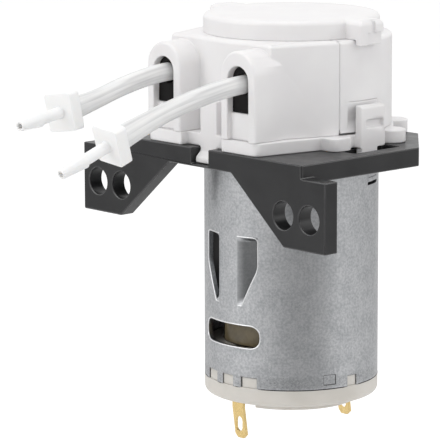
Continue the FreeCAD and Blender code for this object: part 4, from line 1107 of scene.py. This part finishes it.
@dataclass(frozen=True)
class PortClip:
    """The black clip just inside a hose port, which holds the hose in the arch."""

    name: str
    side: int
    spacing: float = 8.5
    half_width: float = 2.25
    floor: float = 9.25
    arch: float = 14.2
    front: float = 18.4
    depth: float = 6.0
    hose_height: float = 13.72
    hose_room: float = 1.55
    sides: int = 48
    bore_sides: int = 40

    def build(self, materials: Materials) -> bpy.types.Object:
        """Models the clip: an arched block, bored for the hose, on a foot.

        Args:
            materials: The materials by finish name.

        Returns:
            The new piece.
        """
        clip = self._rod(self.sides, self.half_width, self.depth, self.arch)
        clip.name = self.name
        self._drop_foot(clip)
        bore = self._rod(self.bore_sides, self.hose_room, self.depth * 3, self.hose_height)
        subtract(clip, bore)
        SoftEdges(0.12, 2).round_off(clip)
        dress(clip, materials["black_clip"])
        return clip

    def _rod(self, vertices: int, radius: float, depth: float, height: float) -> bpy.types.Object:
        """A round bar along the port at a height."""
        bpy.ops.object.select_all(action="DESELECT")
        bpy.ops.mesh.primitive_cylinder_add(
            vertices=vertices, radius=radius * MM, depth=depth * MM,
            location=millimetres(self.side * self.spacing, self.depth / 2 - self.front, height),
            rotation=(math.pi / 2, 0.0, 0.0))
        bpy.ops.object.transform_apply(location=True, rotation=True, scale=True)
        return bpy.context.object

    def _drop_foot(self, clip: bpy.types.Object) -> None:
        """Cuts the lower half off the round block and draws the cut down to the port's floor."""
        middle = millimetres(0.0, 0.0, self.arch).z
        with edit_mode(clip):
            bpy.ops.mesh.bisect(plane_co=(0.0, 0.0, middle), plane_no=(0.0, 0.0, -1.0),
                                clear_outer=True, use_fill=True)
            bpy.ops.mesh.extrude_region_move(
                TRANSFORM_OT_translate={"value": (0.0, 0.0, (self.floor - self.arch) * MM)})


@dataclass(frozen=True)
class CapKey:
    """A key of the end cap, which fills one notch of the crimped rim almost flush."""

    name: str
    low: float
    high: float
    turn: float
    outer: float = 13.68
    inner: float = 12.95
    height: float = 1.62
    can_length: float = 35.33
    vertices: int = 180

    def build(self, materials: Materials) -> bpy.types.Object:
        """Cuts a ring down to one sector and turns it to its notch.

        Args:
            materials: The materials by finish name.

        Returns:
            The new piece.
        """
        bpy.ops.object.select_all(action="DESELECT")
        bpy.ops.mesh.primitive_cylinder_add(
            vertices=self.vertices, radius=self.outer * MM, depth=self.height * MM,
            end_fill_type="NOTHING", location=(0.0, 0.0, 0.0))
        key = bpy.context.object
        key.name = self.name
        with edit_mode(key):
            for place, normal in (((self.low * MM, 0, 0), (-1, 0, 0)),
                                  ((self.high * MM, 0, 0), (1, 0, 0)), ((0, 0, 0), (0, 1, 0))):
                bpy.ops.mesh.select_all(action="SELECT")
                bpy.ops.mesh.bisect(plane_co=place, plane_no=normal, clear_outer=True)
        apply_modifier(key, "SOLIDIFY", thickness=(self.outer - self.inner) * MM, offset=-1.0)
        key.rotation_euler = (0.0, 0.0, math.radians(self.turn))
        key.location = millimetres(0.0, 0.0, self.height / 2 - self.can_length)
        bpy.ops.object.transform_apply(location=True, rotation=True, scale=True)
        SoftEdges(0.1, 2).round_off(key)
        dress(key, materials["milky_cap"])
        return key


PLACES = (("front", 0.0), ("rear", 180.0))
SIDES = (("right", 1), ("left", -1))
OUTSIDE = -15.0                                 # a Y just outside the can's wall
WINDOW = box_corners(12.0, -29.05, -25.35, 1.83)
STAKE = box_corners(2.1, -34.7, -33.1)
STAKE_TURNS = (72.2, 252.2)
MARK_TURN = 114.0

ROUNDED_NODES = (
    # The bracket's and the can's bevel faces take a painted highlight finish.
    RoundedNode("mounting_bracket", "pump", "black_bracket", SoftEdges(0.2, painted_highlight_edges=True),
                "bracket_edge"),
    RoundedNode("head_base", "pump", "white_housing", SoftEdges(0.22)),
    RoundedNode("port_housing", "pump", "white_housing", SoftEdges(0.22, crease=18.0)),
    RoundedNode("rear_housing", "pump", "white_housing", SoftEdges(0.25)),
    RoundedNode("top_lid", "lid", "white_housing", SoftEdges(0.15)),
    RoundedNode("motor_can", "pump", "can_steel", SoftEdges(0.14, painted_highlight_edges=True, clamp=True),
                "burnished_edge", (
                    *TongueShape().openings(),
                    Opening(box_corners(3.9, -3.95, -3.45), OUTSIDE, -12.0, MARK_TURN),
                    Opening(box_corners(3.6, -2.85, -2.65), OUTSIDE, -13.6, MARK_TURN),
                    *(Opening(STAKE, OUTSIDE, -13.72, turn) for turn in STAKE_TURNS))),
    RoundedNode("motor_end_cap", "pump", "milky_cap", SoftEdges(0.15)),
    RoundedNode("terminal_front", "pump", "brass_strip", SoftEdges(0.05, 2)),
    RoundedNode("terminal_rear", "pump", "brass_strip", SoftEdges(0.05, 2)),
    RoundedNode("outlet_fitting", "pump", "milky_fitting", SoftEdges(0.12)),
    RoundedNode("inlet_fitting", "pump", "milky_fitting", SoftEdges(0.12)),
)

HOSES = (
    Hose("outlet_line", "outlet_hose", "outlet_fitting", 38.7, (
        (8.5, -5.6, 13.8), (8.5, -12.8, 13.8), (8.5, -20.3, 13.6), (8.6, -28.3, 12.42),
        (8.55, -36.5, 10.35), (8.5, -43.5, 7.8))),
    Hose("inlet_line", "inlet_hose", "inlet_fitting", 34.0, (
        (-8.5, -5.6, 13.8), (-8.5, -11.8, 13.8), (-8.6, -19.3, 14.15), (-8.8, -27.2, 12.72),
        (-8.85, -34.0, 10.68), (-7.9, -39.15, 10.15))),
)

PORT_CLIPS = (PortClip("outlet_clip", 1), PortClip("inlet_clip", -1))

KEY_PLACES = [(low, high, turn) for _, turn in PLACES
              for low, high in ((-5.45, -2.75), (-1.15, 1.15), (2.75, 5.45))]
KEY_PLACES += [(-0.95, 0.95, turn) for turn in (90.0, -90.0)]
CAP_KEYS = tuple(CapKey(f"cap_key_{index}", *place) for index, place in enumerate(KEY_PLACES, 1))

TONGUES = tuple(Tongue(f"tongue_{place}_{end}", side, turn)
                for place, turn in PLACES for end, side in SIDES)

LIPS = (
    *(Lip(f"window_lip_{place}", WINDOW, turn) for place, turn in PLACES),
    *(Lip(f"tongue_lip_{place}_{end}", TongueShape().corners(side), turn, closed=False)
      for place, turn in PLACES for end, side in SIDES),
    # The stake lips are dark: painted shade round each staked recess.
    *(Lip(f"stake_lip_{end}", STAKE, turn, thickness=0.06, finish="ferrite_block")
      for (end, _), turn in zip(SIDES, STAKE_TURNS)),
)

RIM_SHADOWS = tuple(
    RimShadow(f"rim_shadow_{place}_{index}", start + turn, stop + turn)
    for place, turn in PLACES
    for index, (start, stop) in enumerate((
        (-86.0, -24.0), (-11.0, -5.2), (5.2, 11.0), (24.0, 86.0)))
)

WALL_PATCHES = (
    *(WallPatch(f"latch_web_{end}", side, "white_housing", 15.86, (-4.2, 3.8), (5.32, 10.04),
                0.75, (0.30, 0.42))
      for end, side in SIDES),
    *(WallPatch(f"brush_board_{place}", side, "tan_board", 11.3, (-4.4, 4.0), (-29.3, -24.9),
                0.6, (0.3, 0.6), 0.3, across=False)
      for place, side in (("front", 1), ("rear", -1))),
)


def dress_nodes(materials: Materials) -> None:
    """Gives every node that is shown as it is its finish."""
    for node, finish in NODE_FINISHES.items():
        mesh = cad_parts[node].data
        mesh.materials.clear()
        mesh.materials.append(materials[finish])
        log.info("%s: %s", node, finish)


def main() -> None:
    """Builds the finishes, the camera, the pieces and the studio in order."""
    logging.basicConfig(level=logging.INFO, format="%(name)s: %(message)s")
    bpy.ops.object.select_all(action="DESELECT")
    materials = {name: finish.make() for name, finish in FINISHES.items()}
    PhotoCamera().add()
    rounded = {part.node: part.build(materials) for part in ROUNDED_NODES}
    for hose in HOSES:
        hose.build(materials, rounded)
    for part in (*PORT_CLIPS, *CAP_KEYS, *TONGUES, *LIPS, *RIM_SHADOWS, *WALL_PATCHES):
        piece = part.build(materials)
        log.info("%s: %d faces", piece.name, len(piece.data.polygons))
    Studio().build()
    dress_nodes(materials)


if __name__ == "__main__":
    main()
